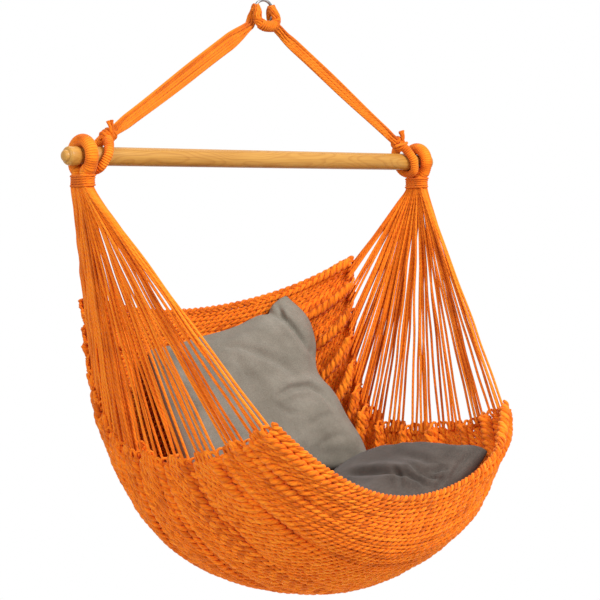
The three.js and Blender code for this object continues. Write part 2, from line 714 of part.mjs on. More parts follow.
// The pieces
const seatSize = {
  width: SEAT_CUSHION_WIDTH, depth: SEAT_CUSHION_DEPTH, crown: SEAT_CUSHION_CROWN,
  bend: 0.7 * SEAT_CUSHION_CROWN, curl: 0.15 * SEAT_CUSHION_CROWN,
};
const backSize = {
  width: BACK_CUSHION_WIDTH, depth: BACK_CUSHION_DEPTH, crown: BACK_CUSHION_CROWN,
  bend: 0.2 * BACK_CUSHION_CROWN, curl: 0.15 * BACK_CUSHION_CROWN,
};

add("hanging_ring", ring(0), steel());
add("ring_hitch", geometryOf(hitch()), orangeCord());
bar();
for (const [side, word, spread] of [[-1, "left", LEFT_LEG_SPREAD], [1, "right", RIGHT_LEG_SPREAD]]) {
  add(word + "_bridle_leg", geometryOf(outerShell(bridleLeg(side, spread))), orangeCord());
  add(word + "_bridle_knot", geometryOf(bridleKnot(side)), orangeCord());
  add(word + "_bridle_eye", bridleEye(side, 0), orangeCord());
  add(word + "_arm_eye", armEye(side), orangeCord());
  add(word + "_arm_seizing", seizing(side), orangeCord());
}

let sheet = netSheet();
for (const side of [-1, 1])
  for (let k = 0; k < CLUMPS; k++) {
    const word = side < 0 ? "left" : "right";
    add(word + "_fan_cords_" + (k + 1), geometryOf(outerShell(fanGroup(side, k))), orangeCord());
    sheet = sheet.subtract(eyelet(gather(side, k)));
  }
const net = geometryOf(sheet);
const backRim = rimCord(0);
add("net_seat", net, orangeCord());
add("back_rim_cord", backRim, orangeCord());
add("front_rim_cord", rimCord(1), orangeCord());

// Cushions start clear of everything and are moved until they rest
const down = zAxis.clone().negate();
const placeShare = (x, y, z) =>
  new THREE.Vector3(x * NET_HALF_WIDTH, y * NET_REACH, z * NET_DROP - BAR_DROP);
function settle(size, start, ways, supports) {
  const outer = pillow(size, 0).applyMatrix4(start);
  for (const way of ways) {
    const free = Math.min(...supports.map((support) => clearWay(outer, support, way)));
    const moved = way.clone().multiplyScalar(free - REST_GAP);
    outer.translate(moved.x, moved.y, moved.z);
    start.premultiply(new THREE.Matrix4().makeTranslation(moved));
  }
  return outer;
}
const seatPose = pose(placeShare(0.07, -0.41, -0.7), [1, 0, 0.175], [0, 1, -0.17]);
const seatOuter = settle(seatSize, seatPose, [down], [net]);
const backPose = pose(placeShare(0.1, -0.6, -0.28), [1, 0, 0.2], [0, 0.56, 0.83]);
const backOnto = new THREE.Vector3(0, 0.72, -0.69);
settle(backSize, backPose, [backOnto, yAxis, down], [net, backRim, seatOuter]);

function cushion(name, size, slitSign, place, fabric) {
  const parts = [
    [name + "_cover", geometryOf(cushionCover(size, slitSign)), fabric],
    [name + "_filling", pillow(size, COVER_WALL + FILL_GAP), filling()],
  ];
  for (const [word, geometry, material] of parts)
    add(word, geometry.applyMatrix4(place), material);
}
cushion("seat_cushion", seatSize, -1, seatPose, darkFabric());
cushion("back_cushion", backSize, 1, backPose, lightFabric());

export default chair;
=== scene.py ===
"""Looks of the hanging hammock chair: real cords in the net, the fans and the bridle, served
loops, a turned bar and two soft cushions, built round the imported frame. Lengths in metres."""

import math
from collections import namedtuple

import bpy
import numpy as np
from mathutils import Matrix, Vector, kdtree


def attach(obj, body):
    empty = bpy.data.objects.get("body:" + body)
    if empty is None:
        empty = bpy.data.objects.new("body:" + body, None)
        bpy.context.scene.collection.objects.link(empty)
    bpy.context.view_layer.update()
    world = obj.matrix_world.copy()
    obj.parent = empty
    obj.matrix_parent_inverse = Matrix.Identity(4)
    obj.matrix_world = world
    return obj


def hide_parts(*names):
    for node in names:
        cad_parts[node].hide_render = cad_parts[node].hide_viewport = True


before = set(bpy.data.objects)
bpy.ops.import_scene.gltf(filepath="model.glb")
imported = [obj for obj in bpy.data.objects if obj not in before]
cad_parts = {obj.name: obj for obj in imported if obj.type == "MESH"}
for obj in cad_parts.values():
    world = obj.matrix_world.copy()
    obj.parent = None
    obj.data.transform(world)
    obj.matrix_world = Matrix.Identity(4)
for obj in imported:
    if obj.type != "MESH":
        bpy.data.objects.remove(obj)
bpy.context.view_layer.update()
rng = np.random.default_rng(7)

# Sizes that the part's source also states
CORD = 0.005
TOUCH = 0.0004
RING_EYE = 0.042
RING_WIRE = 0.006
BAR_DROP = 0.312
BAR_LENGTH = 0.98
BAR_DIAMETER = 0.035
NUB_DIAMETER = 0.022
NUB_LENGTH = 0.008
GROOVE_DEPTH = 0.002
GROOVE_WIDTH = 0.027
ARM_INSET = 0.045
ARM_ROPE = 0.025
ARM_DROP = 0.051
EYE_SPACING = 0.037
BRIDLE_EYE_LEAN = math.radians(24.5)
BRIDLE_EYE_RISE = 0.038
BRIDLE_EYE_ROPE = 0.016
KNOT_OFFSET = 0.0045
KNOT_RADIUS = 0.016
TAIL_LENGTH = 0.03
CLUMPS = 12
NET_HALF_WIDTH = 0.362
NET_REACH = 0.44
NET_DROP = 0.832
RIM_SWEEP = math.radians(48)
SEAT_SWEEP = math.radians(86)
ARM_X = BAR_LENGTH / 2 - ARM_INSET
BRIDLE_EYE_X = ARM_X - EYE_SPACING

SIDE_NAMES = {-1: "left", 1: "right"}
TURN = 2 * math.pi
ANY_ANGLE = 6.3  # a random share of it is an angle in any direction
ring_radius = (RING_EYE + RING_WIRE) / 2
ring_centre = np.array([0, 0, -RING_EYE / 2])
X, Y, Z = np.eye(3)

# Camera at the photograph's place
CAMERA_AZIMUTH = math.radians(-42)
CAMERA_DISTANCE = 3.59
CAMERA_HEIGHT = -0.383
CAMERA_YAW = math.radians(1.15)
CAMERA_PITCH = math.radians(-3.35)
FIELD_OF_VIEW = math.radians(18.98)
PICTURE = 600


def camera_axes():
    heading = CAMERA_AZIMUTH - CAMERA_YAW
    level = np.array([-math.sin(heading), math.cos(heading), 0])
    right = np.array([math.cos(heading), math.sin(heading), 0])
    forward = level * math.cos(CAMERA_PITCH) + Z * math.sin(CAMERA_PITCH)
    return right, np.cross(right, forward), forward


def camera_place():
    return np.array([
        math.sin(CAMERA_AZIMUTH) * CAMERA_DISTANCE,
        -math.cos(CAMERA_AZIMUTH) * CAMERA_DISTANCE,
        CAMERA_HEIGHT,
    ])


def picture_points(points):
    """Pixels of the photograph where points in the frame show."""
    right, up, forward = camera_axes()
    away = np.asarray(points) - camera_place()
    depth = away @ forward
    scale = PICTURE / 2 / math.tan(FIELD_OF_VIEW / 2) / depth
    return np.stack([PICTURE / 2 + scale * (away @ right), PICTURE / 2 - scale * (away @ up)], -1)


def add_camera():
    data = bpy.data.cameras.new("camera")
    data.angle = FIELD_OF_VIEW
    camera = bpy.data.objects.new("camera", data)
    bpy.context.scene.collection.objects.link(camera)
    right, up, forward = camera_axes()
    turn = Matrix([right, up, -forward]).transposed().to_4x4()
    camera.matrix_world = Matrix.Translation(camera_place()) @ turn
    bpy.context.scene.camera = camera


# Materials
class Nodes:
    """Short calls for building the node tree of a material or of the world."""

    def __init__(self, owner):
        owner.use_nodes = True
        self.owner, self.tree = owner, owner.node_tree

    def put(self, socket, value):
        if isinstance(value, bpy.types.NodeSocket):
            self.tree.links.new(value, socket)
        else:
            socket.default_value = value

    def node(self, kind, inputs=(), **settings):
        made = self.tree.nodes.new(kind)
        for key, value in settings.items():
            setattr(made, key, value)
        for key, value in dict(inputs).items():
            self.put(made.inputs[key], value)
        return made

    def math(self, operation, a, b=0.0):
        return self.node("ShaderNodeMath", {0: a, 1: b}, operation=operation).outputs[0]

    def scaled(self, value, factor, plus=0.0):
        return self.math("ADD", self.math("MULTIPLY", value, factor), plus)

    def shares(self, a, share, b):
        """A share of a and the rest of b."""
        return self.scaled(a, share, self.math("MULTIPLY", b, 1 - share))

    def wave(self, phase, period=1.0):
        return self.math("SINE", self.math("MULTIPLY", phase, TURN / period))

    def from_nought(self, wave):
        """A wave between -1 and 1, brought between 0 and 1."""
        return self.scaled(wave, 0.5, 0.5)

    def fine_noise(self, place, scales, detail, rough=0.5):
        """Noise with its own scale along each axis."""
        stretched = self.node("ShaderNodeMapping", {"Vector": place, "Scale": scales})
        return self.noise(stretched.outputs[0], 1.0, detail, rough)

    def noise(self, vector, scale, detail=3.0, rough=0.5):
        inputs = {"Vector": vector, "Scale": scale, "Detail": detail, "Roughness": rough}
        return self.node("ShaderNodeTexNoise", inputs).outputs["Fac"]

    def ramp(self, value, stops):
        made = self.node("ShaderNodeValToRGB", {"Fac": value})
        stops = list(stops)
        while len(made.color_ramp.elements) < len(stops):
            made.color_ramp.elements.new(0.5)
        for element, (place, colour) in zip(made.color_ramp.elements, stops):
            element.position = place
            element.color = (*colour, 1)
        return made.outputs["Color"]

    def mix(self, share, a, b, blend="MIX"):
        """Mixes two colours. Sockets 6 and 7 are the node's inputs for colours."""
        inputs = {0: share, 6: a, 7: b}
        made = self.node("ShaderNodeMix", inputs, data_type="RGBA", blend_type=blend)
        return made.outputs[2]

    def bump(self, height, distance, strength, below=None):
        inputs = {"Height": height, "Distance": distance, "Strength": strength}
        if below is not None:
            inputs["Normal"] = below
        return self.node("ShaderNodeBump", inputs).outputs[0]

    def object_place(self):
        return self.node("ShaderNodeTexCoord").outputs["Object"]

    def cord_tone(self):
        return self.node("ShaderNodeAttribute", attribute_name="cord_tone").outputs["Fac"]

    def split_uv(self):
        uv = self.node("ShaderNodeUVMap", uv_map="lay").outputs[0]
        parts = self.node("ShaderNodeSeparateXYZ", {0: uv})
        return parts.outputs[0], parts.outputs[1]

    def finish(self, **inputs):
        shader = self.tree.nodes["Principled BSDF"]
        for key, value in inputs.items():
            self.put(shader.inputs[key.replace("_", " ")], value)
        return self.owner


PLIES = 3
PLY_PITCH = 0.011
WHITE = (1, 1, 1)
ORANGE_DEEP = (0.6, 0.108, 0.004)
ORANGE = (0.97, 0.222, 0.009)
ORANGE_PALE = (1.0, 0.3, 0.02)


def cord_material(name, depth, shade=1.0):
    """Spun cord: plies that turn round it, fine fibres along them, and tone that changes from
    cord to cord and along it. The colour is darkened in the valleys between the plies as painted
    shade."""
    n = Nodes(bpy.data.materials.new(name))
    turn, along = n.split_uv()
    place = n.object_place()
    wave = n.wave(n.scaled(turn, PLIES, n.math("DIVIDE", along, PLY_PITCH)))
    fibres = n.fine_noise(place, (1400, 1400, 1400), 2.0)
    tone = n.shares(n.noise(place, 26, 4.0, 0.62), 0.62, n.cord_tone())
    # shade below 1 darkens every orange: painted shade, for copies of the cord meant to look
    # shadowed
    oranges = [tuple(c * shade for c in colour) for colour in (ORANGE_DEEP, ORANGE, ORANGE_PALE)]
    colour = n.ramp(tone, zip((0.22, 0.5, 0.8), oranges))
    # Painted shade: darker where the plies' wave sinks, the same places the bump lowers
    valley = n.ramp(n.from_nought(wave), [(0.0, (0.5, 0.42, 0.36)), (0.35, WHITE)])
    colour = n.mix(depth * 0.6, colour, n.mix(1.0, colour, valley, "MULTIPLY"))
    relief = n.bump(wave, 0.0007 * depth, 0.8)
    relief = n.bump(fibres, 0.00025, 0.5, relief)
    return n.finish(Base_Color=colour, Roughness=n.scaled(fibres, 0.2, 0.72), Normal=relief,
                    Sheen_Weight=0.08, Sheen_Roughness=0.5, Specular_IOR_Level=0.12)


def served_material():
    """Rope wound with cord: a dark line of painted shade between the turns and a faint twist along
    each.
    """
    n = Nodes(bpy.data.materials.new("cord_served"))
    turn, along = n.split_uv()
    place = n.object_place()
    ridge = n.math("ABSOLUTE", n.wave(turn, 2.0))
    twist = n.wave(n.math("ADD", turn, n.math("DIVIDE", along, 0.005)))
    tone = n.shares(n.noise(place, 60, 4.0), 0.7, n.cord_tone())
    colour = n.ramp(tone, [(0.25, ORANGE_DEEP), (0.5, ORANGE), (0.75, ORANGE_PALE)])
    # Painted shade: the colour darkens between the turns, where the ridges sink
    line = n.ramp(ridge, [(0.0, (0.6, 0.47, 0.36)), (0.5, WHITE)])
    colour = n.mix(1.0, colour, line, "MULTIPLY")
    relief = n.bump(ridge, 0.0009, 0.9)
    relief = n.bump(twist, 0.0002, 0.5, relief)
    relief = n.bump(n.noise(place, 1500, 2.0), 0.0002, 0.5, relief)
    return n.finish(Base_Color=colour, Roughness=0.82, Normal=relief, Sheen_Weight=0.08,
                    Specular_IOR_Level=0.12)


def wood_material():
    """Pale lacquered wood: grain lines along the bar with long pointed arches and fine pores."""
    n = Nodes(bpy.data.materials.new("wood_bar"))
    place = n.object_place()
    bend = n.fine_noise(place, (3.2, 14, 14), 2.0)
    parts = n.node("ShaderNodeSeparateXYZ", {0: place})
    ring = n.scaled(parts.outputs[1], 150, n.scaled(bend, 20))
    ring = n.scaled(parts.outputs[2], 60, ring)
    streaks = n.fine_noise(place, (9, 420, 420), 5.0, 0.65)
    broad = n.fine_noise(place, (3, 22, 22), 3.0)
    body = n.ramp(n.shares(streaks, 0.6, broad), [
        (0.25, (0.35, 0.15, 0.02)), (0.5, (0.5, 0.24, 0.042)), (0.78, (0.64, 0.35, 0.078)),
    ])
    late = n.ramp(n.math("FRACT", ring), [
        (0.0, (0.98, 0.97, 0.95)), (0.5, WHITE), (0.93, (0.85, 0.77, 0.66)),
        (1.0, (0.95, 0.93, 0.89)),
    ])
    colour = n.mix(1.0, body, late, "MULTIPLY")
    relief = n.bump(streaks, 0.0002, 0.35)
    return n.finish(Base_Color=colour, Roughness=n.scaled(streaks, 0.15, 0.36), Normal=relief,
                    Coat_Weight=0.1, Coat_Roughness=0.3, Specular_IOR_Level=0.3)


def steel_material():
    """Dull galvanised steel with fine wear."""
    n = Nodes(bpy.data.materials.new("ring_steel"))
    place = n.object_place()
    cloudy = n.noise(place, 160, 4.0)
    scratches = n.fine_noise(place, (2400, 300, 300), 2.0)
    colour = n.ramp(cloudy, [(0.3, (0.16, 0.165, 0.17)), (0.7, (0.42, 0.425, 0.43))])
    relief = n.bump(scratches, 0.00008, 0.5)
    return n.finish(Base_Color=colour, Roughness=n.scaled(cloudy, 0.25, 0.26), Normal=relief,
                    Metallic=0.95)


def cloth_material(name, dark, middle, light, thread):
    """Plain-woven melange cloth: crossing threads, darkened as painted shade where the weave sinks,
    flecks of two tones and soft cloudy wear.
    """
    n = Nodes(bpy.data.materials.new(name))
    across, along = n.split_uv()
    weave = n.math("MULTIPLY", n.wave(across, thread), n.wave(along, thread))
    place = n.object_place()
    flecks = n.noise(place, 620, 3.0, 0.8)
    tone = n.shares(flecks, 0.62, n.noise(place, 13, 4.0, 0.6))
    colour = n.ramp(tone, [(0.36, dark), (0.5, middle), (0.64, light)])
    # Painted shade: the colour darkens where the weave's relief sinks
    crossing = n.ramp(n.from_nought(weave), [(0.0, (0.8, 0.8, 0.8)), (0.6, WHITE)])
    colour = n.mix(1.0, colour, crossing, "MULTIPLY")
    relief = n.bump(weave, 0.0003, 0.6)
    relief = n.bump(flecks, 0.0003, 0.5, relief)
    return n.finish(Base_Color=colour, Roughness=0.9, Normal=relief, Sheen_Weight=0.15,
                    Sheen_Roughness=0.4, Specular_IOR_Level=0.15)


def plain_material(name, colour, roughness):
    """Soft, slightly cloudy finish for what hardly shows."""
    n = Nodes(bpy.data.materials.new(name))
    cloudy = n.noise(n.object_place(), 40, 3.0)
    low = tuple(c * 0.9 for c in colour)
    return n.finish(Base_Color=n.ramp(cloudy, [(0.3, low), (0.7, colour)]), Roughness=roughness)


# Geometry
FINE_STEPS = 24  # points on each span of a curve, before they are spaced evenly


def mesh_object(name, points, faces, material, uv=None, tone=None, smooth=True):
    """Mesh from an array of points and one of quads or a list of polygons. uv holds one pair for
    each corner, tone one number for each point."""
    mesh = bpy.data.meshes.new(name)
    if isinstance(faces, np.ndarray):
        corners = faces.shape[1]
        mesh.vertices.add(len(points))
        mesh.vertices.foreach_set("co", np.asarray(points, np.float32).ravel())
        mesh.loops.add(faces.size)
        mesh.loops.foreach_set("vertex_index", faces.astype(np.int32).ravel())
        mesh.polygons.add(len(faces))
        mesh.polygons.foreach_set("loop_start", np.arange(len(faces), dtype=np.int32) * corners)
        mesh.update(calc_edges=True)
    else:
        mesh.from_pydata([tuple(p) for p in points], [], faces)
    if uv is not None:
        layer = mesh.uv_layers.new(name="lay")
        layer.data.foreach_set("uv", np.asarray(uv, np.float32).ravel())
    if tone is not None:
        attribute = mesh.attributes.new("cord_tone", "FLOAT", "POINT")
        attribute.data.foreach_set("value", np.asarray(tone, np.float32))
    mesh.polygons.foreach_set("use_smooth", np.full(len(mesh.polygons), smooth))
    mesh.materials.append(material)
    mesh.validate()
    made = bpy.data.objects.new(name, mesh)
    bpy.context.scene.collection.objects.link(made)
    return made


def quads(grid):
    """The four neighbours round each cell of a grid of numbers or of places."""
    return np.stack([grid[:-1, :-1], grid[1:, :-1], grid[1:, 1:], grid[:-1, 1:]], 2)


def bell(away, width=1.0):
    return np.exp(-((away / width) ** 2))


def unit(v):
    return v / np.maximum(np.linalg.norm(v, axis=-1, keepdims=True), 1e-12)


def distances(points):
    """How far each point lies from the first, along the line that joins them."""
    return np.concatenate([[0], np.cumsum(np.linalg.norm(np.diff(points, axis=0), axis=1))])


def with_ends(points):
    """Points with one more at each end, straight on."""
    return np.vstack([2 * points[0] - points[1], points, 2 * points[-1] - points[-2]])


def through(p, t):
    """Smooth curve through all points but the first and last, one span for each step of t."""
    i = np.minimum(t.astype(int), len(p) - 4)
    f = (t - i)[..., None]
    a, b, c, d = p[i], p[i + 1], p[i + 2], p[i + 3]
    return 0.5 * (2 * b + (c - a) * f + (2 * a - 5 * b + 4 * c - d) * f**2
                  + (3 * b - a - 3 * c + d) * f**3)


def curve_points(points, count, closed=False):
    """Evenly spaced points on a smooth curve through the given ones."""
    p = np.asarray(points, float)
    p = np.vstack([p[-1], p, p[0], p[1]]) if closed else with_ends(p)
    spans = len(p) - 3
    fine = through(p, np.linspace(0, spans, spans * FINE_STEPS + 1))
    run = distances(fine)
    at = np.linspace(0, run[-1], count + 1 if closed else count)
    if closed:
        at = at[:-1]
    return np.stack([np.interp(at, run, fine[:, k]) for k in range(3)], -1)


def line_frames(lines, start=None):
    """Directions across lines of points and over them, carried along without twist."""
    along = np.empty_like(lines)
    along[:, 1:-1] = lines[:, 2:] - lines[:, :-2]
    along[:, 0] = lines[:, 1] - lines[:, 0]
    along[:, -1] = lines[:, -1] - lines[:, -2]
    along = unit(along)
    across = np.empty_like(lines)
    seed = np.broadcast_to(X if start is None else np.asarray(start, float), along[:, 0].shape)
    side = np.cross(along[:, 0], seed)
    weak = np.linalg.norm(side, axis=1) < 0.1
    side[weak] = np.cross(along[weak, 0], Y)
    across[:, 0] = unit(side)
    for i in range(1, lines.shape[1]):
        moved = across[:, i - 1]
        moved = moved - along[:, i] * np.sum(moved * along[:, i], axis=1, keepdims=True)
        across[:, i] = unit(moved)
    return across, np.cross(along, across)


def turns_of(sides):
    return np.linspace(0, TURN, sides, endpoint=False)


def rings(across, over, sides):
    """Directions round a line at each of its points."""
    turns = turns_of(sides)[:, None]
    return across[..., None, :] * np.cos(turns) + over[..., None, :] * np.sin(turns)


def skin(name, points, run, closed, lay, material, tone):
    """Mesh of quads over rings of points (cord, ring, side, 3). run is how far each ring is along
    its cord. lay makes a place on the surface of a share of a turn and that distance."""
    count, steps, sides = points.shape[:3]
    index = np.arange(count * steps * sides).reshape(count, steps, sides)
    if closed:
        index = np.concatenate([index, index[:, :1]], axis=1)
    ahead = np.roll(index, -1, axis=2)
    faces = np.stack([index[:, :-1], ahead[:, :-1], ahead[:, 1:], index[:, 1:]], -1)
    run = run[:, : index.shape[1]]
    u0 = np.broadcast_to(np.arange(sides) / sides, faces.shape[:3])
    u1 = u0 + 1 / sides
    v0 = np.broadcast_to(run[:, :-1, None], faces.shape[:3])
    v1 = np.broadcast_to(run[:, 1:, None], faces.shape[:3])
    corners = ((u0, v0), (u1, v0), (u1, v1), (u0, v1))
    uv = np.stack([np.stack(lay(u, v), -1) for u, v in corners], -2)
    return mesh_object(name, points.reshape(-1, 3), faces.reshape(-1, 4), material, uv, tone)


def tubes(name, lines, radius, material, sides=6, tone=None, closed=False, start=None,
          part=slice(None)):
    """Round cords along lines (cord, point, 3), closed at their ends. radius is one number, or one
    for each point. Only the part of the points that is asked for is built."""
    lines = np.asarray(lines, float)
    across, over = line_frames(lines, start)
    gaps = np.linalg.norm(np.diff(lines, axis=1, append=lines[:, :1]), axis=2)
    run = np.concatenate([np.zeros((len(lines), 1)), np.cumsum(gaps, axis=1)], axis=1)
    radius = np.broadcast_to(np.asarray(radius, float), lines.shape[:2]).copy()
    if not closed:
        radius[:, [0, -1]] *= 0.05
    lines, across, over, radius, run = (a[:, part] for a in (lines, across, over, radius, run))
    count, steps = lines.shape[:2]
    points = lines[:, :, None] + rings(across, over, sides) * radius[:, :, None, None]
    if tone is None:
        tone = rng.random(count)
    tone = np.repeat(np.asarray(tone, float), steps * sides)
    return skin(name, points, run, closed, lambda turn, far: (turn, far), material, tone)


RIDGE_POWER = 0.6
RIDGE_HEIGHT_SHARE = 0.2
TONE_STEP = 12.9898  # how far apart the tones of two turns lie, as an angle


def served(name, line, radius, wrap, material, sides=16, closed=False, start=None, slant=1.0):
    """Rope wound tightly with a cord: a round ridge for each turn. radius is one number or one
    for each point of the line."""
    line = np.asarray(line, float)
    across, over = line_frames(line[None], start)
    radius = np.broadcast_to(np.asarray(radius, float), (len(line),))
    run = distances(np.vstack([line, line[:1]]))
    if closed:
        wrap = run[-1] / round(run[-1] / wrap)
    phase = run[:-1, None] / wrap - slant * turns_of(sides) / TURN
    ridge = np.abs(np.sin(math.pi * phase)) ** RIDGE_POWER
    reach = radius[:, None] - wrap * RIDGE_HEIGHT_SHARE * (1 - ridge)
    points = line[None, :, None] + rings(across, over, sides) * reach[None, :, :, None]
    # The wound cord runs round the rope, so its own length is the turn and its width the run
    girth = TURN * float(radius.mean())
    tone = 0.5 + 0.35 * np.sin(np.floor(phase) * TONE_STEP)
    return skin(name, points, run[None], closed, lambda turn, far: (far / wrap, turn * girth),
                material, tone.ravel())


def join(name, parts):
    """One piece out of several with the same material."""
    bpy.ops.object.select_all(action="DESELECT")
    for part in parts:
        part.select_set(True)
    bpy.context.view_layer.objects.active = parts[0]
    bpy.ops.object.join()
    parts[0].name = name
    parts[0].data.name = name
    return parts[0]


def place_piece(piece, body, slot, *nodes):
    if nodes:
        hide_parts(*nodes)
    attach(piece, body)


# Net: the same sheet as in the part's source. Its rows are [across, forward and back, down from the
# bar] as shares of the net's half width, reach and drop.
right_edge_shares = [
    [1, 0.25, 0.25], [0.98, 0.24, 0.36], [0.96, 0.21, 0.48], [0.95, 0.15, 0.59],
    [0.96, 0.02, 0.66], [0.96, -0.26, 0.66], [0.97, -0.56, 0.63], [0.94, -0.78, 0.58],
]
left_edge_shares = [
    [0.96, 0.28, 0.31], [0.95, 0.26, 0.42], [0.93, 0.22, 0.54], [0.9, 0.13, 0.63],
    [0.91, -0.03, 0.66], [0.91, -0.31, 0.66], [0.9, -0.6, 0.62], [0.88, -0.85, 0.56],
]
middle_shares = [
    [-0.06, 0.52, 0.38], [-0.03, 0.53, 0.55], [0, 0.48, 0.73], [0, 0.29, 0.9],
    [-0.04, -0.02, 1], [0.03, -0.51, 1], [0.03, -0.88, 0.89], [-0.02, -1, 0.75],
]


def net_line(shares, v):
    points = np.array(shares) * [NET_HALF_WIDTH, NET_REACH, -NET_DROP] - [0, 0, BAR_DROP]
    return through(with_ends(points), np.clip(v, 0, 1) * (len(points) - 1))


def net_point(u, v):
    """u from -1 at the left edge to 1 at the right, v from 0 at the back rim to 1 at the front."""
    u, v = np.broadcast_arrays(np.asarray(u, float), np.asarray(v, float))
    sweep = RIM_SWEEP + (SEAT_SWEEP - RIM_SWEEP) * np.sqrt(np.sin(math.pi * np.clip(v, 0, 1)))
    turn = u * sweep
    across = np.sin(turn) / np.sin(sweep)
    share = ((1 + across) / 2)[..., None]
    edge = net_line(left_edge_shares, v) * (1 - share) + net_line(right_edge_shares, v) * share
    centre = net_line(middle_shares, v)
    hang = (np.cos(turn) - np.cos(sweep)) / (1 - np.cos(sweep))
    bulge = 1 - np.abs(across) ** (2 + 2 * v)
    return np.stack([
        edge[..., 0] * across + centre[..., 0] * (1 - across**2),
        edge[..., 1] + (centre[..., 1] - edge[..., 1]) * bulge,
        edge[..., 2] + (centre[..., 2] - edge[..., 2]) * hang,
    ], -1)


STEP_U = 0.05
STEP_V = 0.01


def net_axes(u, v):
    """Unit directions on the sheet: to the right, to the front rim and in to the sitter."""
    right = unit(net_point(np.minimum(u + STEP_U, 1), v) - net_point(np.maximum(u - STEP_U, -1), v))
    front = unit(net_point(u, np.minimum(v + STEP_V, 1)) - net_point(u, np.maximum(v - STEP_V, 0)))
    return right, front, unit(np.cross(front, right))


# Pleats start in the notches between the gathers and run on towards the middle of the seat.
# Their depths on the left, from the back rim to the front, are chosen after the photograph.
PLEAT_VALLEY = 0.029
PLEAT_RIDGE = 0.012
PLEAT_WIDTH_SHARE = 0.125
PLEAT_CLOSING = 0.018
GATHER_START = 0.91
GATHER_SHARE = 0.78
pleat_depth = 0.45 + 0.75 * rng.random((2, CLUMPS + 1))
pleat_depth[0] = [0.5, 0.7, 1.1, 0.9, 1.35, 1.0, 1.45, 1.05, 1.3, 0.8, 1.0, 0.6, 0.5]
pleat_reach = 0.62 + 0.36 * rng.random((2, CLUMPS + 1))


def smooth(t):
    t = np.clip(t, 0, 1)
    return t * t * (3 - 2 * t)


def near_edge(u):
    """0 where the sheet lies freely, up to 1 at the side edges, where its rows are gathered."""
    return smooth((np.abs(u) - GATHER_START) / (1 - GATHER_START))


def pleated(u, v):
    """Sheet with its pleats, and its directions to the front rim and in to the sitter. v is where
    a row lies at the sides before it is gathered."""
    u, v = np.broadcast_arrays(np.asarray(u, float), np.asarray(v, float))
    clump = np.clip(np.floor(v * CLUMPS), 0, CLUMPS - 1)
    middle = (clump + 0.5) / CLUMPS
    pull = 1 - (1 - GATHER_SHARE) * near_edge(u)
    gathered = middle + (v - middle) * pull
    point = net_point(u, gathered)
    _, front, inner = net_axes(u, gathered)
    notch = np.rint(v * CLUMPS).astype(int)
    away = (v * CLUMPS - notch) / PLEAT_WIDTH_SHARE
    side = (u > 0).astype(int)
    reach = pleat_reach[side, notch]
    fade = smooth((np.abs(u) - (1 - reach)) / reach)
    valley = bell(away) * pleat_depth[side, notch]
    depth = fade * (PLEAT_VALLEY * valley - PLEAT_RIDGE * (1 - bell(away)))
    closing = -fade * PLEAT_CLOSING * away * valley
    return point + inner * depth[..., None] + front * closing[..., None], front, inner


ROW_PITCH = 0.0086
STRAND = 0.0058
TWIST_RADIUS = 0.0025
TWIST_PITCH = 0.031
ROW_POINTS = 330
ROW_REACH = 0.99
ROW_UNEVEN = 0.014
ROW_STAGGER = 0.0016
ROW_WAVER = 0.0012
WAVER_RATE = 31
PHASE_SCATTER = 0.35
PHASE_DRIFT = 0.4
DRIFT_RATE = 23
LOOSEST, TIGHTEST = 2.1, 0.8
EDGE_NOTCH = 0.022

fine_v = np.linspace(0, 1, 400)
fine_run = distances(net_point(0.0, fine_v))
row_count = int(round(fine_run[-1] / ROW_PITCH)) - 1
row_v = np.interp((np.arange(row_count) + 1) / (row_count + 1) * fine_run[-1], fine_run, fine_v)


def row_ends():
    """How far each row reaches to the left and right: less in the notches, and a little uneven."""
    offset = row_v * CLUMPS - np.floor(row_v * CLUMPS) - 0.5
    notch = EDGE_NOTCH * (2 * np.abs(offset)) ** 2
    return ROW_REACH - notch - ROW_UNEVEN * rng.random((2, row_count))


def net_rows():
    """Each row is two strands twisted together, and its turns lie in the next row's gaps."""
    ends = row_ends()
    t = np.linspace(0, 1, ROW_POINTS)
    u = -ends[0][:, None] + (ends[0] + ends[1])[:, None] * t
    waver = np.sin(t * WAVER_RATE + rng.random((row_count, 1)) * ANY_ANGLE)
    waver = ROW_WAVER * waver / fine_run[-1]
    line, front, inner = pleated(u, row_v[:, None] + waver)
    sign = np.where(np.arange(row_count) % 2, 1, -1)[:, None]
    line = line + inner * (sign * near_edge(u) * ROW_STAGGER)[..., None]
    run = np.cumsum(np.linalg.norm(np.diff(line, axis=1, prepend=line[:, :1]), axis=2), axis=1)
    run = run - run[:, ROW_POINTS // 2, None]
    phase = TURN * run / TWIST_PITCH + (np.arange(row_count) % 2)[:, None] * math.pi / 2
    phase = phase + PHASE_SCATTER * rng.random((row_count, 1))
    phase = phase + PHASE_DRIFT * np.sin(row_v * DRIFT_RATE)[:, None]
    # Where the rows lie further apart, the strands lie looser and fill the same share
    space = np.linalg.norm(np.diff(line, axis=0), axis=2)
    space = np.maximum(np.vstack([space[:1], space]), np.vstack([space, space[-1:]]))
    loose = np.clip(space / ROW_PITCH, TIGHTEST, LOOSEST)
    strands = []
    for half in (0, math.pi):
        angle = (phase + half)[..., None]
        wind = np.cos(angle) * inner - np.sin(angle) * front
        strands.append(line + TWIST_RADIUS * loose[..., None] * wind)
    both = np.stack(strands, 1).reshape(-1, ROW_POINTS, 3)
    return both, np.repeat(loose, 2, axis=0) * STRAND / 2, line


LOOP_REACH = 0.008
LOOP_UNEVEN = 0.007
LOOP_LIFT = 0.004
LOOP_SHOULDER = 0.004
LOOP_POINTS = 14


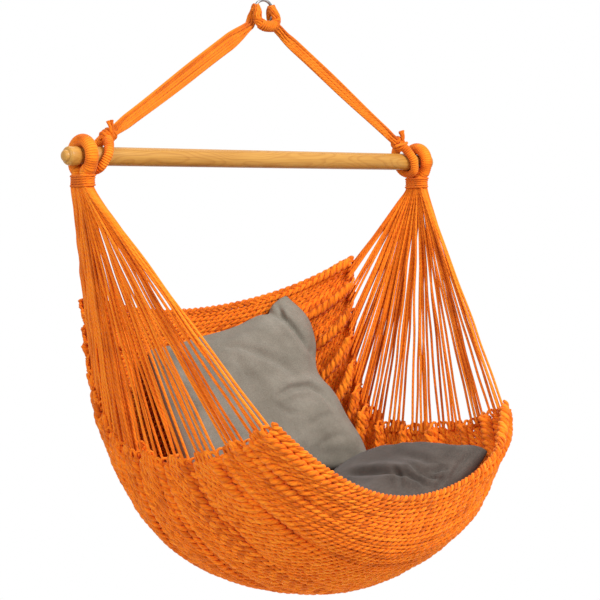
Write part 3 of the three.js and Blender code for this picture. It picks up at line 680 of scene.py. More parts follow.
def edge_loops(line):
    """Cords that turn back at the side edges, from one row to the next in the same gather."""
    loops = []
    clump = np.floor(row_v * CLUMPS)
    # Each side's last point of a row, and one three points further in
    for side, near, far in ((-1, 0, 3), (1, -1, -4)):
        for j in range(row_count - 1):
            if clump[j] != clump[j + 1]:
                continue
            a, b = line[j, near], line[j + 1, near]
            out = unit((a + b) / 2 - (line[j, far] + line[j + 1, far]) / 2)
            reach = LOOP_REACH + LOOP_UNEVEN * rng.random()
            _, _, inner = net_axes(np.array(side * 0.97), row_v[j])
            lift = inner * (LOOP_LIFT * (rng.random() - 0.5))
            middle = (a + b) / 2 + out * reach + lift
            shoulders = [end * 0.6 + middle * 0.4 + out * LOOP_SHOULDER for end in (a, b)]
            points = [line[j, far], a, shoulders[0], middle, shoulders[1], b, line[j + 1, far]]
            loops.append(curve_points(points, LOOP_POINTS))
    return np.array(loops)


# A dark sheet inside the net's rows, put there as painted shade between them
SHADE_SHEET_HALF = 0.0006
SHADE_SHEET_TRIM = 14  # points of each row left out at both sides
SHADE_SHEET_STEP = 5
SHADE_SHEET_TONE = 0.6


def net_shade_sheet(line):
    """Painted shade for the net: a thin closed dark sheet in the middle of the rows, which shows
    dark between them as painted shade."""
    grid = line[:, SHADE_SHEET_TRIM:-SHADE_SHEET_TRIM:SHADE_SHEET_STEP]
    along, across = np.gradient(grid, axis=1), np.gradient(grid, axis=0)
    over = unit(np.cross(along, across)) * SHADE_SHEET_HALF
    rows, columns = grid.shape[:2]
    index = np.arange(rows * columns).reshape(rows, columns)
    under = index + rows * columns
    rim = np.concatenate([index[0, :-1], index[:-1, -1], index[-1, :0:-1], index[:0:-1, 0]])
    ahead = np.roll(rim, -1)
    faces = np.vstack([
        quads(index).reshape(-1, 4),
        quads(under)[..., [0, 3, 2, 1]].reshape(-1, 4),
        np.stack([rim, ahead, ahead + rows * columns, rim + rows * columns], -1),
    ])
    points = np.concatenate([grid - over, grid + over]).reshape(-1, 3)
    # Darkened cord colour for the painted shade between the rows
    inner = cord_material("cord_painted_shade", 0.3, SHADE_SHEET_TONE)
    return mesh_object("net_painted_shade_sheet", points, faces, inner)


BANDS = 5


def build_net(cord):
    strands, radius, line = net_rows()
    pieces = []
    for k, rows in enumerate(np.array_split(np.arange(len(strands)), BANDS), 1):
        pieces.append(tubes(f"net_rows_{k}", strands[rows], radius[rows], cord, sides=5))
    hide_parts("net_seat")
    pieces.append(net_shade_sheet(line))
    pieces.append(tubes("net_edge_loops", edge_loops(line), STRAND / 2, cord, sides=6))
    for piece in pieces:
        place_piece(piece, "seat", "orange_cord")


# Rim cords: place on the sheet, strands, their thickness and pitch, and how far they swing along
# the sheet and across it
RIMS = {"back_rim": (0.0, 3, 0.0074, 0.046, 0.005, 0.0026),
        "front_rim": (1.0, 2, 0.0068, 0.021, -0.003, 0.003)}
RIM_POINTS = 420


def build_rims(braid):
    """Back rim: three strands braided. Front rim: two twisted strands."""
    for name, (v, strands, size, pitch, swing, rise) in RIMS.items():
        u = np.linspace(-1, 1, RIM_POINTS)
        line = net_point(u, v)
        _, front, inner = net_axes(u, np.full_like(u, v))
        run = distances(line)
        made = []
        for k in range(strands):
            angle = TURN * (run / pitch + k / strands)
            wide = swing * np.sin(angle)
            high = rise * (np.sin(2 * angle) if strands == 3 else np.cos(angle))
            made.append(line + wide[:, None] * front + high[:, None] * inner)
        piece = tubes(name + "_rope", np.array(made), size / 2, braid, sides=8)
        place_piece(piece, "seat", "orange_cord", name + "_cord")


# Fans of cords between the arm eyes and the gathers
ROOT_PITCH = 0.0053
ROOT_CORD_PITCH = 0.0046
ROOT_STUB = 0.022
ROOT_RISE = 0.012
ROOT_GATHER = 0.76
HAIRPIN_RADIUS = 0.0062
HAIRPIN_PLACE_SHARES = (-0.27, 0.0, 0.26)
ROOT_SLOTS = (2.35, 1.4, 0.45)
FAN_CORD = 0.0053
FAN_FOOT = 0.975
FAN_FOOT_UNEVEN = 0.012
FAN_PLACE_UNEVEN = 0.09
FAN_SWAY = 0.004
FAN_WAVE = 0.005
FAN_RIPPLE = 0.0016
RIPPLE_RATE = 19
FAN_STEPS = (0.15, 0.3, 0.45, 0.6, 0.72, 0.84, 0.94)
FAN_POINTS = 150


def fan_cord(side, k, pair, bunch):
    v_clump = (k + 0.5) / CLUMPS
    uneven = FAN_PLACE_UNEVEN * (rng.random() - 0.5)
    v = v_clump + (HAIRPIN_PLACE_SHARES[pair] * bunch + uneven) / CLUMPS
    u = side * (FAN_FOOT - FAN_FOOT_UNEVEN * rng.random())
    centre = net_point(u, v)
    _, _, inner = net_axes(np.array(u), np.array(v))
    root_y = ((CLUMPS - 1) / 2 - k) * ROOT_PITCH
    root_z = -BAR_DROP - ARM_DROP + ROOT_RISE
    slot = ROOT_SLOTS[pair]
    towards = np.sign(inner[0] * side) or 1
    roots = [np.array([side * (ARM_X + ROOT_GATHER * leg * towards * slot * ROOT_CORD_PITCH),
                       ROOT_GATHER * root_y, root_z]) for leg in (1, -1)]
    pull = unit((roots[0] + roots[1]) / 2 - centre)
    across = unit(inner - pull * (inner @ pull))
    turn = [centre + HAIRPIN_RADIUS * (across * math.cos(a) - pull * math.sin(a))
            for a in np.linspace(0, math.pi, 5)]
    points = []
    for leg, root in zip((1, -1), roots):
        stub = root - Z * ROOT_STUB
        end = turn[0] if leg == 1 else turn[-1]
        run = end - stub
        sway = unit(np.cross(run, across)) * (FAN_SWAY * (rng.random() - 0.5))
        wave = across * (FAN_WAVE * (rng.random() - 0.5))
        way = [root, stub]
        kink = rng.random() * ANY_ANGLE
        for t in FAN_STEPS:
            swing = math.sin(math.pi * t)
            small = across * (FAN_RIPPLE * math.sin(t * RIPPLE_RATE + kink) * swing)
            way.append(stub + run * t + sway * swing + wave * math.sin(TURN * t) + small)
        points += way + turn if leg == 1 else way[::-1]
    return curve_points(points, FAN_POINTS)


def build_fans(cord):
    for side, word in SIDE_NAMES.items():
        for k in range(CLUMPS):
            name = f"{word}_fan_cords_{k + 1}"
            bunch = 0.6 + 0.5 * rng.random()
            lines = np.array([fan_cord(side, k, pair, bunch) for pair in range(len(ROOT_SLOTS))])
            piece = tubes(f"{word}_fan_strands_{k + 1}", lines, FAN_CORD / 2, cord, sides=7)
            place_piece(piece, "seat", "orange_cord", name)


# Arm eyes and seizings
ARM_SHOULDER = 0.76  # share of the turn's radius, across and down
ARM_LIMB_RISE = 0.46
ARM_TURN_ENDS = (-12, 192)  # degrees
ARM_WRAP = 0.0038
ARM_SWELL = 0.14
ARM_POINTS = 330


def build_arms(cord, served_cord):
    rope = ARM_ROPE / 2
    groove = BAR_DIAMETER / 2 - GROOVE_DEPTH
    turn_radius = groove + TOUCH + rope
    gap = rope + TOUCH
    for side, word in SIDE_NAMES.items():
        shoulder = turn_radius * ARM_SHOULDER
        limb_points = [[gap, -ARM_DROP], [gap, ARM_LIMB_RISE * ARM_DROP - ARM_DROP],
                       [shoulder, -shoulder]]
        points = [[-y, z] for y, z in limb_points]
        for a in np.linspace(*np.radians(ARM_TURN_ENDS), 11):
            points.append([-turn_radius * math.cos(a), turn_radius * math.sin(a)])
        points += limb_points[::-1]
        line = curve_points([[side * ARM_X, y, z - BAR_DROP] for y, z in points], ARM_POINTS)
        limb = smooth((-line[:, 2] - BAR_DROP - 0.3 * ARM_DROP) / (0.5 * ARM_DROP))
        eye = served(f"{word}_arm_rope", line, rope * (1 + ARM_SWELL * limb), ARM_WRAP,
                     served_cord, sides=20, slant=side)
        place_piece(eye, "seat", "orange_cord", f"{word}_arm_eye")
        place_piece(seizing(side, word, cord), "seat", "orange_cord", f"{word}_arm_seizing")


SEIZING_CORD = 0.0042
SEIZING_TURNS = 5
SEIZING_GAP = 0.0002
SEIZING_SINK = 0.008
SEIZING_FLATNESS = 2.2
SEIZING_BITE = 0.94
SEIZING_WAIST = 0.09


def seizing(side, word, cord):
    rope = ARM_ROPE / 2
    reach = rope + 2 * TOUCH + SEIZING_CORD / 2
    pitch = SEIZING_CORD + SEIZING_GAP
    foot = -BAR_DROP - ARM_DROP + SEIZING_CORD / 2 + TOUCH - SEIZING_SINK
    turn = TURN * np.linspace(0, SEIZING_TURNS, SEIZING_TURNS * 56 + 1)
    end = np.clip(np.sin(turn) * SEIZING_FLATNESS, -1, 1) * (rope + TOUCH) * SEIZING_BITE
    waist = 1 - SEIZING_WAIST * np.sin(math.pi * turn / turn[-1])
    line = np.stack([side * ARM_X + reach * waist * np.cos(turn),
                     (end + reach * np.sin(turn)) * waist,
                     foot + pitch * turn / TURN], -1)
    return tubes(f"{word}_seizing_turns", line[None], SEIZING_CORD / 2, cord, sides=8)


# Bridle: the strands run from one knot up through the ring's hitch and down to the other knot.
# The route through the hitch is in shares of the ring's radius, from the ring's centre.
hitch_shares = [
    [-2.5, 0.12, -1.88], [-1.78, 0.2, -1.43], [-1.2, 0.38, -1.06], [-0.95, 0.43, -0.44],
    [-0.84, 0.02, 0.3], [-1.04, -0.4, -0.12], [-1.1, -0.5, -0.68], [-0.66, -0.6, -1.12],
    [0, -0.62, -1.2],
    [0.62, -0.6, -1.1], [0.9, -0.56, -0.66], [0.84, -0.44, -0.12], [0.84, 0.02, 0.34],
    [1.12, 0.4, -0.2], [1.42, 0.36, -0.86], [1.92, 0.18, -1.4], [2.5, 0.12, -1.88],
]
bridle_eye_shares = [
    [0, -1], [0.69, -0.76], [1, -0.1], [0.96, 0.26], [0.71, 0.58], [0.38, 0.86], [0, 1],
]
BUNDLE = ((3, 0.0028), (9, 0.0073))  # cords in each ring of the bundle, and its radius
LEG_CORDS = 12
LEG_SPREAD = {-1: 0.037, 1: 0.029}
LEG_TAPER = 0.25
LEG_WAVE = 0.0005
LEG_RIPPLE = 0.0007
BRIDGE_SQUEEZE = 0.3  # how far the bundle is drawn together under the ring
KNOT_DEPTH = 0.004
KNOT_START = 0.86  # share of the leg where its strands begin to close towards the knot
BAND_START = 0.038  # how far inside the hitch the strands begin to lie side by side


def lean_axis(side):
    return np.array([-side * math.sin(BRIDLE_EYE_LEAN), 0, math.cos(BRIDLE_EYE_LEAN)])


def eye_centre(side):
    return np.array([side * BRIDLE_EYE_X, 0, -BAR_DROP])


def eye_peak(side):
    return eye_centre(side) + lean_axis(side) * BRIDLE_EYE_RISE


def hitch_route():
    return np.array(hitch_shares) * ring_radius + ring_centre


def leg_direction(side):
    start = hitch_route()[0] * [-side, 1, 1]
    return unit(start - eye_peak(side))


def knot_centre(side):
    return eye_peak(side) + leg_direction(side) * KNOT_OFFSET


def clear_of_ring(points, room):
    """Moves points that lie inside the ring's wire out to its surface."""
    from_centre = points - ring_centre
    flat = from_centre * [1, 0, 1]
    core = ring_centre + unit(flat) * ring_radius
    away = points - core
    distance = np.linalg.norm(away, axis=-1, keepdims=True)
    return np.where(distance < room, core + away / np.maximum(distance, 1e-9) * room, points)


def build_bridle(cord, served_cord):
    route = hitch_route()
    feet = {side: knot_centre(side) + leg_direction(side) * KNOT_DEPTH for side in (-1, 1)}
    hitch = curve_points(route, 200)
    legs = {-1: np.linspace(feet[-1], route[0], 130), 1: np.linspace(route[-1], feet[1], 130)}
    line = np.vstack([legs[-1][:-1], hitch, legs[1][1:]])
    along = unit(np.gradient(line, axis=0))
    out = np.minimum(1, np.abs(line[:, 0]) / (2 * ring_radius))
    wide = np.stack([np.sign(line[:, 0]) * out, 0 * out, 2 - out], -1)
    across = unit(wide - along * np.sum(wide * along, axis=1, keepdims=True))
    over = np.cross(along, across)
    first, last = len(legs[-1]) - 1, len(legs[-1]) - 1 + len(hitch) - 1
    index = np.arange(len(line))
    t = np.where(index < first, (first - index) / first, 0.0)
    t = np.where(index > last, (index - last) / (len(line) - 1 - last), t)
    side = np.where(index < len(line) / 2, -1, 1)
    spread = np.where(side < 0, LEG_SPREAD[-1], LEG_SPREAD[1])
    in_eye = np.maximum(0, 1 - np.hypot(line[:, 1], line[:, 2] - ring_centre[2]) / ring_radius)
    tight = 1 - in_eye / 5 - BRIDGE_SQUEEZE * np.exp(-((line[:, 0] / (0.75 * ring_radius)) ** 4))
    run = distances(line)
    inside = np.minimum(run - run[first], run[last] - run)
    to_middle = smooth((BAND_START - inside) / (2 * BAND_START))
    to_knot = smooth((t - KNOT_START) / (1 - KNOT_START))
    spread = spread * (1 - LEG_TAPER * t)
    strands = []
    bundle = [(radius, TURN * (k + 0.5) / count) for count, radius in BUNDLE
              for k in range(count)]
    order = np.argsort([radius * math.cos(turn) for radius, turn in bundle])
    for place, k in enumerate(order):
        radius, turn = bundle[k]
        turn = turn + 0.9 * np.sin(3 * t)
        wide, high = radius * np.cos(turn), radius * np.sin(turn)
        loose = (place / (LEG_CORDS - 1) * 2 - 1) * (spread - CORD) / 2
        loose = loose + LEG_RIPPLE * np.sin(t * 9 + place * 2.1)
        sway = (1 if place % 2 else -1) * LEG_WAVE * (1 + 0.4 * np.sin(t * 6 + place))
        free = to_middle * (1 - to_knot)
        w = (1 - free) * wide * tight + free * loose
        o = (1 - free) * high * tight + free * sway
        strands.append(line + across * w[:, None] + over * o[:, None])
    strands = clear_of_ring(np.array(strands), RING_WIRE / 2 + CORD / 2 + TOUCH)
    tone = rng.random(LEG_CORDS)
    for name, part, node in (("left_leg_strands", slice(0, first + 1), "left_bridle_leg"),
                             ("hitch_strands", slice(first, last + 1), "ring_hitch"),
                             ("right_leg_strands", slice(last, len(line)), "right_bridle_leg")):
        piece = tubes(name, strands, CORD / 2, cord, 8, tone, start=Y, part=part)
        place_piece(piece, "bridle", "orange_cord", node)
    place_piece(hitch_wrap(cord), "bridle", "orange_cord")
    for side, word in SIDE_NAMES.items():
        build_eye(side, word, served_cord)
        build_knot(side, word, cord)


WRAP_TURNS = 12
WRAP_CORD = 0.0042
WRAP_RADIUS = 0.0092


def hitch_wrap(cord):
    """Serving round the bridge of the hitch, under the ring."""
    bridge = curve_points(hitch_route(), 400)
    core = bridge[np.abs(bridge[:, 0]) < 0.86 * ring_radius]
    core = core[core[:, 2] < ring_centre[2] - 0.88 * ring_radius]
    line = curve_points(core, 260)
    angle = (TURN * WRAP_TURNS * np.linspace(0, 1, len(line)))[:, None]
    along = unit(np.gradient(line, axis=0))
    up = unit(Z - along * (along @ Z)[:, None])
    over = np.cross(along, up)
    coil = line + WRAP_RADIUS * (up * np.cos(angle) + over * np.sin(angle))
    coil = clear_of_ring(coil, RING_WIRE / 2 + WRAP_CORD / 2 + TOUCH)
    return tubes("hitch_wrap", coil[None], WRAP_CORD / 2, cord, sides=7)


EYE_WRAP = 0.0042
EYE_THICK = 1.06
EYE_FLARE = 0.16


def build_eye(side, word, served_cord):
    rope = BRIDLE_EYE_ROPE / 2
    half_width = BAR_DIAMETER / 2 + TOUCH + rope + TOUCH
    foot = (BAR_DIAMETER / 2 + TOUCH + rope) / math.cos(BRIDLE_EYE_LEAN) + TOUCH
    points = []
    for sign, shares in ((1, bridle_eye_shares), (-1, bridle_eye_shares[-2:0:-1])):
        for over, up in shares:
            rise = up * (foot if up < 0 else BRIDLE_EYE_RISE)
            points.append(eye_centre(side) + Y * sign * over * half_width + lean_axis(side) * rise)
    line = curve_points(points, 300, closed=True)
    up = (line - eye_centre(side)) @ lean_axis(side) / BRIDLE_EYE_RISE
    flare = EYE_THICK + EYE_FLARE * smooth((up - 0.2) / 0.5)
    eye = served(f"{word}_eye_rope", line, rope * flare, EYE_WRAP, served_cord, sides=18,
                 closed=True, start=np.cross(lean_axis(side), Y), slant=0.0)
    place_piece(eye, "bridle", "orange_cord", f"{word}_bridle_eye")


KNOT_CORD = 0.0072
KNOT_TURNS = 4
TAIL_CORD = 0.0062
TAIL_FRAY = (1.08, 1.16, 1.24, 1.3, 1.32, 1.3)
# Each tail's lean, where it leaves the knot and its length
TAILS = ((-0.3, -1.0, 0.95), (0.0, -0.75, 1.0), (-0.15, -0.6, 0.85))


def build_knot(side, word, cord):
    """Turns laid tightly round the leg, one turn crossed over them, and three short cut tails."""
    centre, axis = knot_centre(side), leg_direction(side)
    wide = unit(np.cross(axis, Y))
    coil_radius = KNOT_RADIUS - KNOT_CORD / 2 - 0.001
    share = np.linspace(0, 1, 230)
    angle = TURN * KNOT_TURNS * share
    height = (share - 0.5) * KNOT_TURNS * KNOT_CORD * 0.96
    tuck = bell(share, 0.05) + bell(1 - share, 0.05)
    bulge = coil_radius * (0.9 + 0.1 * np.sin(math.pi * share) - 0.8 * tuck)
    coil = (centre + axis * height[:, None] + wide * (bulge * np.cos(angle))[:, None]
            + Y * (bulge * np.sin(angle))[:, None])
    cross = []
    for a in np.linspace(-0.9, 1.1, 12):
        reach = coil_radius + KNOT_CORD * 0.45
        cross.append(centre + axis * (0.011 * math.sin(a * 1.5)) - Y * reach * math.cos(a)
                     + wide * reach * math.sin(a))
    parts = [tubes("coil", coil[None], KNOT_CORD / 2, cord, sides=9),
             tubes("cross", curve_points(cross, 60)[None], KNOT_CORD * 0.42, cord, sides=9)]
    for lean, turn, length in TAILS:
        base = centre + Y * coil_radius * 0.8 * turn + X * (0.004 * lean + 0.002)
        tip = base + Z * TAIL_LENGTH * length + X * TAIL_LENGTH * (lean + 0.08)
        bow = (base + tip) / 2 - Y * 0.004
        line = curve_points([base, bow, tip], 40)
        radius = np.full(40, TAIL_CORD / 2)
        radius[-len(TAIL_FRAY):] *= TAIL_FRAY
        parts.append(tubes("tail", line[None], radius, cord, sides=9))
    place_piece(join(f"{word}_knot_turns", parts), "bridle", "orange_cord", f"{word}_bridle_knot")


# Bar and ring
BAR_ROUNDING = 0.0065
GROOVE_RELIEF = 0.0006
NUB_DOME = 0.7
SEGMENTS = 96


def lathe(name, profile, material):
    """Turned piece about the bar's axis from (place along X, radius) pairs, closed at both ends."""
    points = [(x, r * math.cos(t), r * math.sin(t)) for x, r in profile for t in turns_of(SEGMENTS)]
    faces = []
    for i in range(len(profile) - 1):
        for k in range(SEGMENTS):
            a, b = i * SEGMENTS + k, i * SEGMENTS + (k + 1) % SEGMENTS
            faces.append((a, b, b + SEGMENTS, a + SEGMENTS))
    faces.append(tuple(range(SEGMENTS - 1, -1, -1)))
    faces.append(tuple(range((len(profile) - 1) * SEGMENTS, len(profile) * SEGMENTS)))
    return mesh_object(name, np.array(points) - [0, 0, BAR_DROP], faces, material)


def build_bar(wood):
    half = BAR_LENGTH / 2
    radius, nub = BAR_DIAMETER / 2, NUB_DIAMETER / 2
    shoulder = half - NUB_LENGTH
    edge, relief = BAR_ROUNDING, GROOVE_RELIEF
    end = [(shoulder + NUB_LENGTH * math.cos(a) ** NUB_DOME, nub * math.sin(a))
           for a in np.radians(np.linspace(3, 84, 14))]
    end += [(shoulder + 0.0005, nub), (shoulder, nub + 0.0007)]
    end += [(shoulder - edge + edge * math.cos(a), radius - edge + edge * math.sin(a))
            for a in np.radians(np.linspace(4, 90, 9))]
    for x in (ARM_X + GROOVE_WIDTH / 2 + relief, ARM_X - GROOVE_WIDTH / 2 - relief):
        into = -1 if x > ARM_X else 1
        step = [(x, radius), (x + into * 0.0012, radius - 0.0004),
                (x + into * (GROOVE_DEPTH + relief), radius - GROOVE_DEPTH)]
        end += step if into < 0 else step[::-1]
    profile = end + [(x, radius) for x in np.linspace(0.4, -0.4, 9)]
    profile += [(-x, r) for x, r in end[::-1]]
    place_piece(lathe("bar_dowel", profile[::-1], wood), "bar", "wood", "spreader_bar")


def build_ring(steel):
    turns = turns_of(SEGMENTS)
    line = ring_centre + ring_radius * (np.cos(turns)[:, None] * X + np.sin(turns)[:, None] * Z)
    weld = 1 + 0.07 * bell(turns - 1.2, 0.05)
    ring = tubes("ring_wire", line[None], RING_WIRE / 2 * weld[None], steel, sides=24,
                 closed=True, start=Y)
    place_piece(ring, "ring", "steel", "hanging_ring")


# Cushions
CROWN_POWER = 0.42
CORNER_ROUND = 0.05
NOTCH_PLACE = 0.6
NOTCH_WIDTH = 0.1

# How a cushion lies. draw: how far its sides pull in; bend and curl: how it is bowed across and
# along; droop: how far its corners hang; corners: moves of single corners; notch: how far the
# upper edge sinks beside the raised corner; swells: place, reach and width of what stands out or
# in along its right-hand side; crown: share of its fullness. Shares of the half sizes, but bend,
# curl, droop and the corners' third numbers in metres; their last number is a power.
Lie = namedtuple("Lie", "draw bend curl droop corners notch swells crown")
BACK_LIE = Lie((-0.01, 0.05), 0.024, 0.018, 0.0,
               {(1, -1): (0.06, -0.3, 0, 1.3), (1, 1): (-0.08, 0.11, 0, 2.2)}, 0.06,
               [(0.6, 0.08, 0.3), (0.02, -0.1, 0.22)], 0.92)
SEAT_LIE = Lie((-0.02, 0.03), 0.1155, 0.02475, 0.05,
               {(1, -1): (0.06, -0.2, 0.035, 2.5), (-1, -1): (0.06, 0.05, 0, 2.5)}, 0.0, [], 1.0)


def cushion_frame(node, wide, deep):
    """Where a cushion's filling lies: its directions, its middle and its half sizes."""
    wide, deep = unit(np.array(wide)), unit(np.array(deep))
    axes = np.stack([wide, deep, unit(np.cross(wide, deep))])
    points = np.array([v.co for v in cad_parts[node].data.vertices])
    local = points @ np.linalg.inv(axes)
    low, high = local.min(0), local.max(0)
    middle = (low + high) / 2
    near = np.hypot(*(local[:, :2] - middle[:2]).T)
    core = local[near < near.min() + 0.002]
    middle[2] = (core[:, 2].min() + core[:, 2].max()) / 2
    return axes, middle, (high - low)[:2] / 2, (core[:, 2].max() - core[:, 2].min()) / 2


def cushion_points(s, t, face, half, crown, lie):
    x = s * (1 - lie.draw[0] * (1 - t * t))
    y = t * (1 - lie.draw[1] * (1 - s * s))
    rounding = 1 - CORNER_ROUND * (s * t) ** 6
    x, y = x * rounding, y * rounding
    z = lie.bend * x * x + lie.curl * y * y - lie.droop * (s * t) ** 2
    for (side, end), move in lie.corners.items():
        share = (np.clip(s * side, 0, 1) * np.clip(t * end, 0, 1)) ** move[3]
        x, y, z = x + move[0] * share, y + move[1] * share, z + move[2] * share
    for place, reach, width in lie.swells:
        x = x + reach * bell(t - place, width) * np.clip(s, 0, 1) ** 3
    y = y - lie.notch * bell(s - NOTCH_PLACE, NOTCH_WIDTH) * np.clip(t, 0, 1) ** 6
    z = z + face * crown * ((1 - s * s) * (1 - t * t)) ** CROWN_POWER
    return np.stack([x * half[0], y * half[1], z], -1)


CUSHION_GRID = 65  # points along each side


def cushion_mesh(name, axes, middle, half, crown, lie, material):
    a = 0.5 * np.linspace(-1, 1, CUSHION_GRID) - 0.5 * np.cos(np.linspace(0, math.pi, CUSHION_GRID))
    s, t = np.meshgrid(a, a, indexing="ij")
    top = cushion_points(s, t, 1, half, crown, lie).reshape(-1, 3)
    bottom = cushion_points(s, t, -1, half, crown, lie).reshape(-1, 3)
    index = np.arange(CUSHION_GRID**2).reshape(CUSHION_GRID, CUSHION_GRID)
    under = index.copy()
    inside = index[1:-1, 1:-1]
    under[1:-1, 1:-1] = len(top) + np.arange(inside.size).reshape(inside.shape)
    points = np.vstack([top, bottom[inside.ravel()]])
    faces, uv = [], []
    lay = np.stack([s * half[0], t * half[1]], -1)
    for grid, shift in ((index, 0), (under, 1)):
        order = slice(None, None, -1 if shift else 1)
        faces.append(quads(grid)[:, :, order].reshape(-1, 4))
        uv.append((quads(lay)[:, :, order] + [shift, 0]).reshape(-1, 4, 2))
    world = (points + middle) @ axes
    return mesh_object(name, world, np.vstack(faces), material, np.vstack(uv))


def vectors(items, key):
    values = np.empty(len(items) * 3, np.float32)
    items.foreach_get(key, values)
    return values.reshape(-1, 3).astype(float)


def mesh_points(piece):
    return vectors(piece.data.vertices, "co")


def set_points(piece, points):
    piece.data.vertices.foreach_set("co", points.astype(np.float32).ravel())
    piece.data.update()


def point_normals(piece):
    piece.data.update()
    return vectors(piece.data.vertex_normals, "vector")


def apply(piece, modifier):
    bpy.context.view_layer.objects.active = piece
    bpy.ops.object.modifier_apply(modifier=modifier.name)


CLOTH = {
    "use_pressure": True, "uniform_pressure_force": 3.2, "quality": 5, "tension_stiffness": 22,
    "compression_stiffness": 10, "shear_stiffness": 6, "bending_stiffness": 0.35, "mass": 0.25,
    "air_damping": 2,
}
CLOTH_FRAMES = 18
CLOTH_REACH = 0.012


def blow_up(piece):
    """Cloth under pressure, which puckers the seams, with each point kept within reach."""
    start = mesh_points(piece)
    cloth = piece.modifiers.new("cloth", "CLOTH")
    cloth.settings.effector_weights.gravity = 0
    for key, value in CLOTH.items():
        setattr(cloth.settings, key, value)
    cloth.collision_settings.use_collision = False
    cloth.point_cache.frame_start, cloth.point_cache.frame_end = 1, CLOTH_FRAMES
    scene = bpy.context.scene
    for number in range(1, CLOTH_FRAMES + 1):
        scene.frame_set(number)
    apply(piece, cloth)
    scene.frame_set(1)
    moved = mesh_points(piece) - start
    length = np.linalg.norm(moved, axis=1, keepdims=True)
    set_points(piece, start + moved * np.minimum(1, CLOTH_REACH / np.maximum(length, 1e-9)))


def along_pixels(points, path):
    """Distance in pixels of points to a line drawn on the photograph, and the share along it."""
    seen = picture_points(points)
    best = np.full(len(points), np.inf)
    share = np.zeros(len(points))
    path = np.array(path, float)
    run = distances(path)
    for i in range(len(path) - 1):
        a, b = path[i], path[i + 1]
        t = np.clip(((seen - a) @ (b - a)) / ((b - a) @ (b - a)), 0, 1)
        distance = np.linalg.norm(seen - a - t[:, None] * (b - a), axis=1)
        closer = distance < best
        best[closer] = distance[closer]
        share[closer] = (run[i] + t[closer] * (run[i + 1] - run[i])) / run[-1]
    return best, share


SWELL_SHARE = 0.55  # height of the swell beside a fold, and its place and width in fold widths
SWELL_PLACE = 2.4
SWELL_WIDTH = 1.6


def crease(piece, path, depth, width):
    """Presses a fold into what faces the camera, along a line of the photograph, with a soft
    swell beside it. depth in metres, width in pixels."""
    points, normals = mesh_points(piece), point_normals(piece)
    facing = np.clip(-(unit(points - camera_place()) * normals).sum(1) * 3, 0, 1)
    distance, share = along_pixels(points, path)
    taper = np.sin(math.pi * np.clip(share, 0.02, 0.98)) ** 0.6
    beside = (distance - SWELL_PLACE * width) / (SWELL_WIDTH * width)
    cut = bell(distance, width) - SWELL_SHARE * bell(beside)
    set_points(piece, points - normals * (depth * cut * taper * facing)[:, None])


# Folds: a line of the photograph, depth in metres and width in pixels
LIGHT_FOLDS = [
    ([(266, 311), (280, 317), (295, 328), (306, 342), (314, 357)], 0.009, 2.6),
    ([(276, 303), (284, 318), (296, 333), (308, 352)], 0.006, 2.0),
    ([(222, 346), (240, 346), (262, 354), (282, 364), (300, 377)], 0.007, 2.8),
    ([(332, 407), (323, 393), (309, 386), (292, 388), (278, 396)], 0.01, 2.4),
    ([(232, 352), (244, 371), (262, 384)], 0.004, 3.2),
    ([(274, 402), (286, 412), (303, 414)], 0.005, 2.6),
    ([(334, 414), (322, 417), (306, 427)], 0.003, 3.0),
    ([(352, 434), (336, 436), (318, 445)], 0.003, 3.0),
]
DARK_FOLDS = [
    ([(348, 474), (368, 473), (388, 472), (406, 474), (420, 480), (428, 488)], 0.011, 2.4),
    ([(410, 464), (420, 472), (431, 477), (441, 480)], 0.009, 1.9),
    ([(447, 483), (456, 470), (466, 457), (474, 450)], 0.006, 2.6),
    ([(400, 455), (420, 458), (438, 465)], 0.004, 3.2),
    ([(424, 470), (436, 471), (448, 467)], 0.008, 1.8),
    ([(392, 466), (400, 476), (402, 488)], 0.007, 2.0),
    ([(436, 488), (444, 478), (446, 468)], 0.006, 1.8),
]


LUMP_WAVES = 7
LUMP_RATE = 2.2 / 0.12
LUMP_HEIGHT = 0.0035 / 4


def lumps(piece, axes, seed):
    """Soft uneven stuffing: a few broad waves over the surface."""
    points, normals = mesh_points(piece), point_normals(piece)
    local = points @ np.linalg.inv(axes) * LUMP_RATE
    waves = np.random.default_rng(seed)
    swell = np.zeros(len(points))
    for _ in range(LUMP_WAVES):
        way = waves.normal(size=3) * [1, 1, 0.4]
        swell += np.sin(local @ way + waves.random() * ANY_ANGLE)
    set_points(piece, points + normals * (LUMP_HEIGHT * swell)[:, None])


def soften(piece, rounds):
    """Relaxes a mesh a little, keeping its folds."""
    smoothing = piece.modifiers.new("smooth", "SMOOTH")
    smoothing.factor = 0.4
    smoothing.iterations = rounds
    apply(piece, smoothing)


CONTACT = 0.009  # least distance of a cushion's cloth from the middle of the net's sheet


def rest_on_net(piece):
    """Presses in what would stand through the net, so that the cushion lies on its pleats."""
    u, v = np.meshgrid(np.linspace(-1, 1, 160), np.linspace(0, 1, 200))
    sheet, _, inner = pleated(u, v)
    sheet, inner = sheet.reshape(-1, 3), inner.reshape(-1, 3)
    tree = kdtree.KDTree(len(sheet))
    for i, place in enumerate(sheet):
        tree.insert(place, i)
    tree.balance()
    points = mesh_points(piece)
    for k, point in enumerate(points):
        i = tree.find(point)[1]
        short = CONTACT - (point - sheet[i]) @ inner[i]
        if short > 0:
            points[k] = point + inner[i] * short
    set_points(piece, points)


COVER_SIDE = 0.0022  # how far the cover stands off the filling, at its sides and at its crown
COVER_CROWN = 0.003
COVER_EASE = 1.03


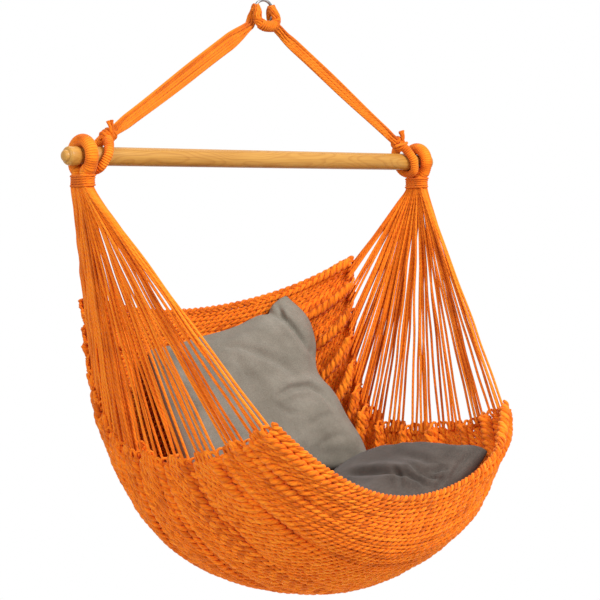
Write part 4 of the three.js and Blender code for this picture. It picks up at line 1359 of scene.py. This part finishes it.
def build_cushion(name, wide, deep, lie, cloth, slot, folds, seed):
    axes, middle, half, core = cushion_frame(name + "_filling", wide, deep)
    half, crown = (half + COVER_SIDE) * COVER_EASE, (core + COVER_CROWN) * lie.crown
    piece = cushion_mesh(name + "_pad", axes, middle, half, crown, lie, cloth)
    blow_up(piece)
    fine = piece.modifiers.new("fine", "SUBSURF")
    fine.levels = fine.render_levels = 1
    apply(piece, fine)
    lumps(piece, axes, seed)
    for path, depth, width in folds:
        crease(piece, path, depth, width)
    rest_on_net(piece)
    soften(piece, 2)
    place_piece(piece, name, slot, name + "_cover", name + "_filling")


def build_cushions():
    light = cloth_material("cloth_light", (0.147, 0.131, 0.103), (0.226, 0.203, 0.164),
                           (0.315, 0.285, 0.237), 0.0022)
    dark = cloth_material("cloth_dark", (0.042, 0.034, 0.029), (0.085, 0.07, 0.06),
                          (0.14, 0.118, 0.102), 0.0024)
    build_cushion("back_cushion", (1, 0, 0.2), (0, 0.56, 0.83), BACK_LIE, light,
                  "light_fabric", LIGHT_FOLDS, 3)
    build_cushion("seat_cushion", (1, 0, 0.175), (0, 1, -0.17), SEAT_LIE, dark,
                  "dark_fabric", DARK_FOLDS, 5)


# Stage
FLOOR_HEIGHT = -1.5
FLOOR_RADIUS = 1.05


def build_stage():
    rim = [(FLOOR_RADIUS * math.cos(t), FLOOR_RADIUS * math.sin(t), FLOOR_HEIGHT)
           for t in turns_of(SEGMENTS)]
    pale = plain_material("floor_pale", (0.86, 0.86, 0.85), 0.8)
    floor = mesh_object("floor", rim, [tuple(range(SEGMENTS))], pale, smooth=False)


def area_light(name, place, target, size, power):
    data = bpy.data.lights.new(name, "AREA")
    data.shape = "SQUARE"
    data.size = size
    data.energy = power
    lamp = bpy.data.objects.new(name, data)
    bpy.context.scene.collection.objects.link(lamp)
    direction = Vector(target) - Vector(place)
    lamp.rotation_euler = direction.to_track_quat("-Z", "Y").to_euler()
    lamp.location = place


def build_light():
    scene = bpy.context.scene
    scene.view_settings.view_transform = "Standard"
    scene.world = bpy.data.worlds.new("studio")
    n = Nodes(scene.world)
    n.tree.nodes.clear()
    seen = n.node("ShaderNodeBackground", {"Color": (1, 1, 1, 1)})
    around = n.node("ShaderNodeBackground", {"Color": (1.0, 0.985, 0.96, 1), "Strength": 0.56})
    path = n.node("ShaderNodeLightPath").outputs
    shown = n.math("MAXIMUM", path["Is Camera Ray"], path["Is Glossy Ray"])
    shown = n.math("MAXIMUM", shown, path["Is Transmission Ray"])
    mixed = n.node("ShaderNodeMixShader", {0: shown, 1: around.outputs[0], 2: seen.outputs[0]})
    n.node("ShaderNodeOutputWorld", {0: mixed.outputs[0]})
    middle = (0, -0.05, -0.7)
    area_light("key", (0.3, -3.4, 1.6), middle, 1.6, 156)
    area_light("side", (-3.1, -1.1, 0.9), middle, 1.4, 46)
    area_light("top", (0.6, 0.8, 2.6), middle, 2.0, 26)


add_camera()
cord = cord_material("cord_orange", 0.6)
served_cord = served_material()
build_net(cord)
build_rims(cord_material("cord_laid", 0.8))
build_fans(cord)
build_arms(cord, served_cord)
# The bridle's cords are the same orange, darkened by shade=0.84 as painted shade
build_bridle(cord_material("cord_bridle_painted_shade", 0.6, shade=0.84), served_cord)
build_bar(wood_material())
build_ring(steel_material())
build_cushions()
build_stage()
build_light()
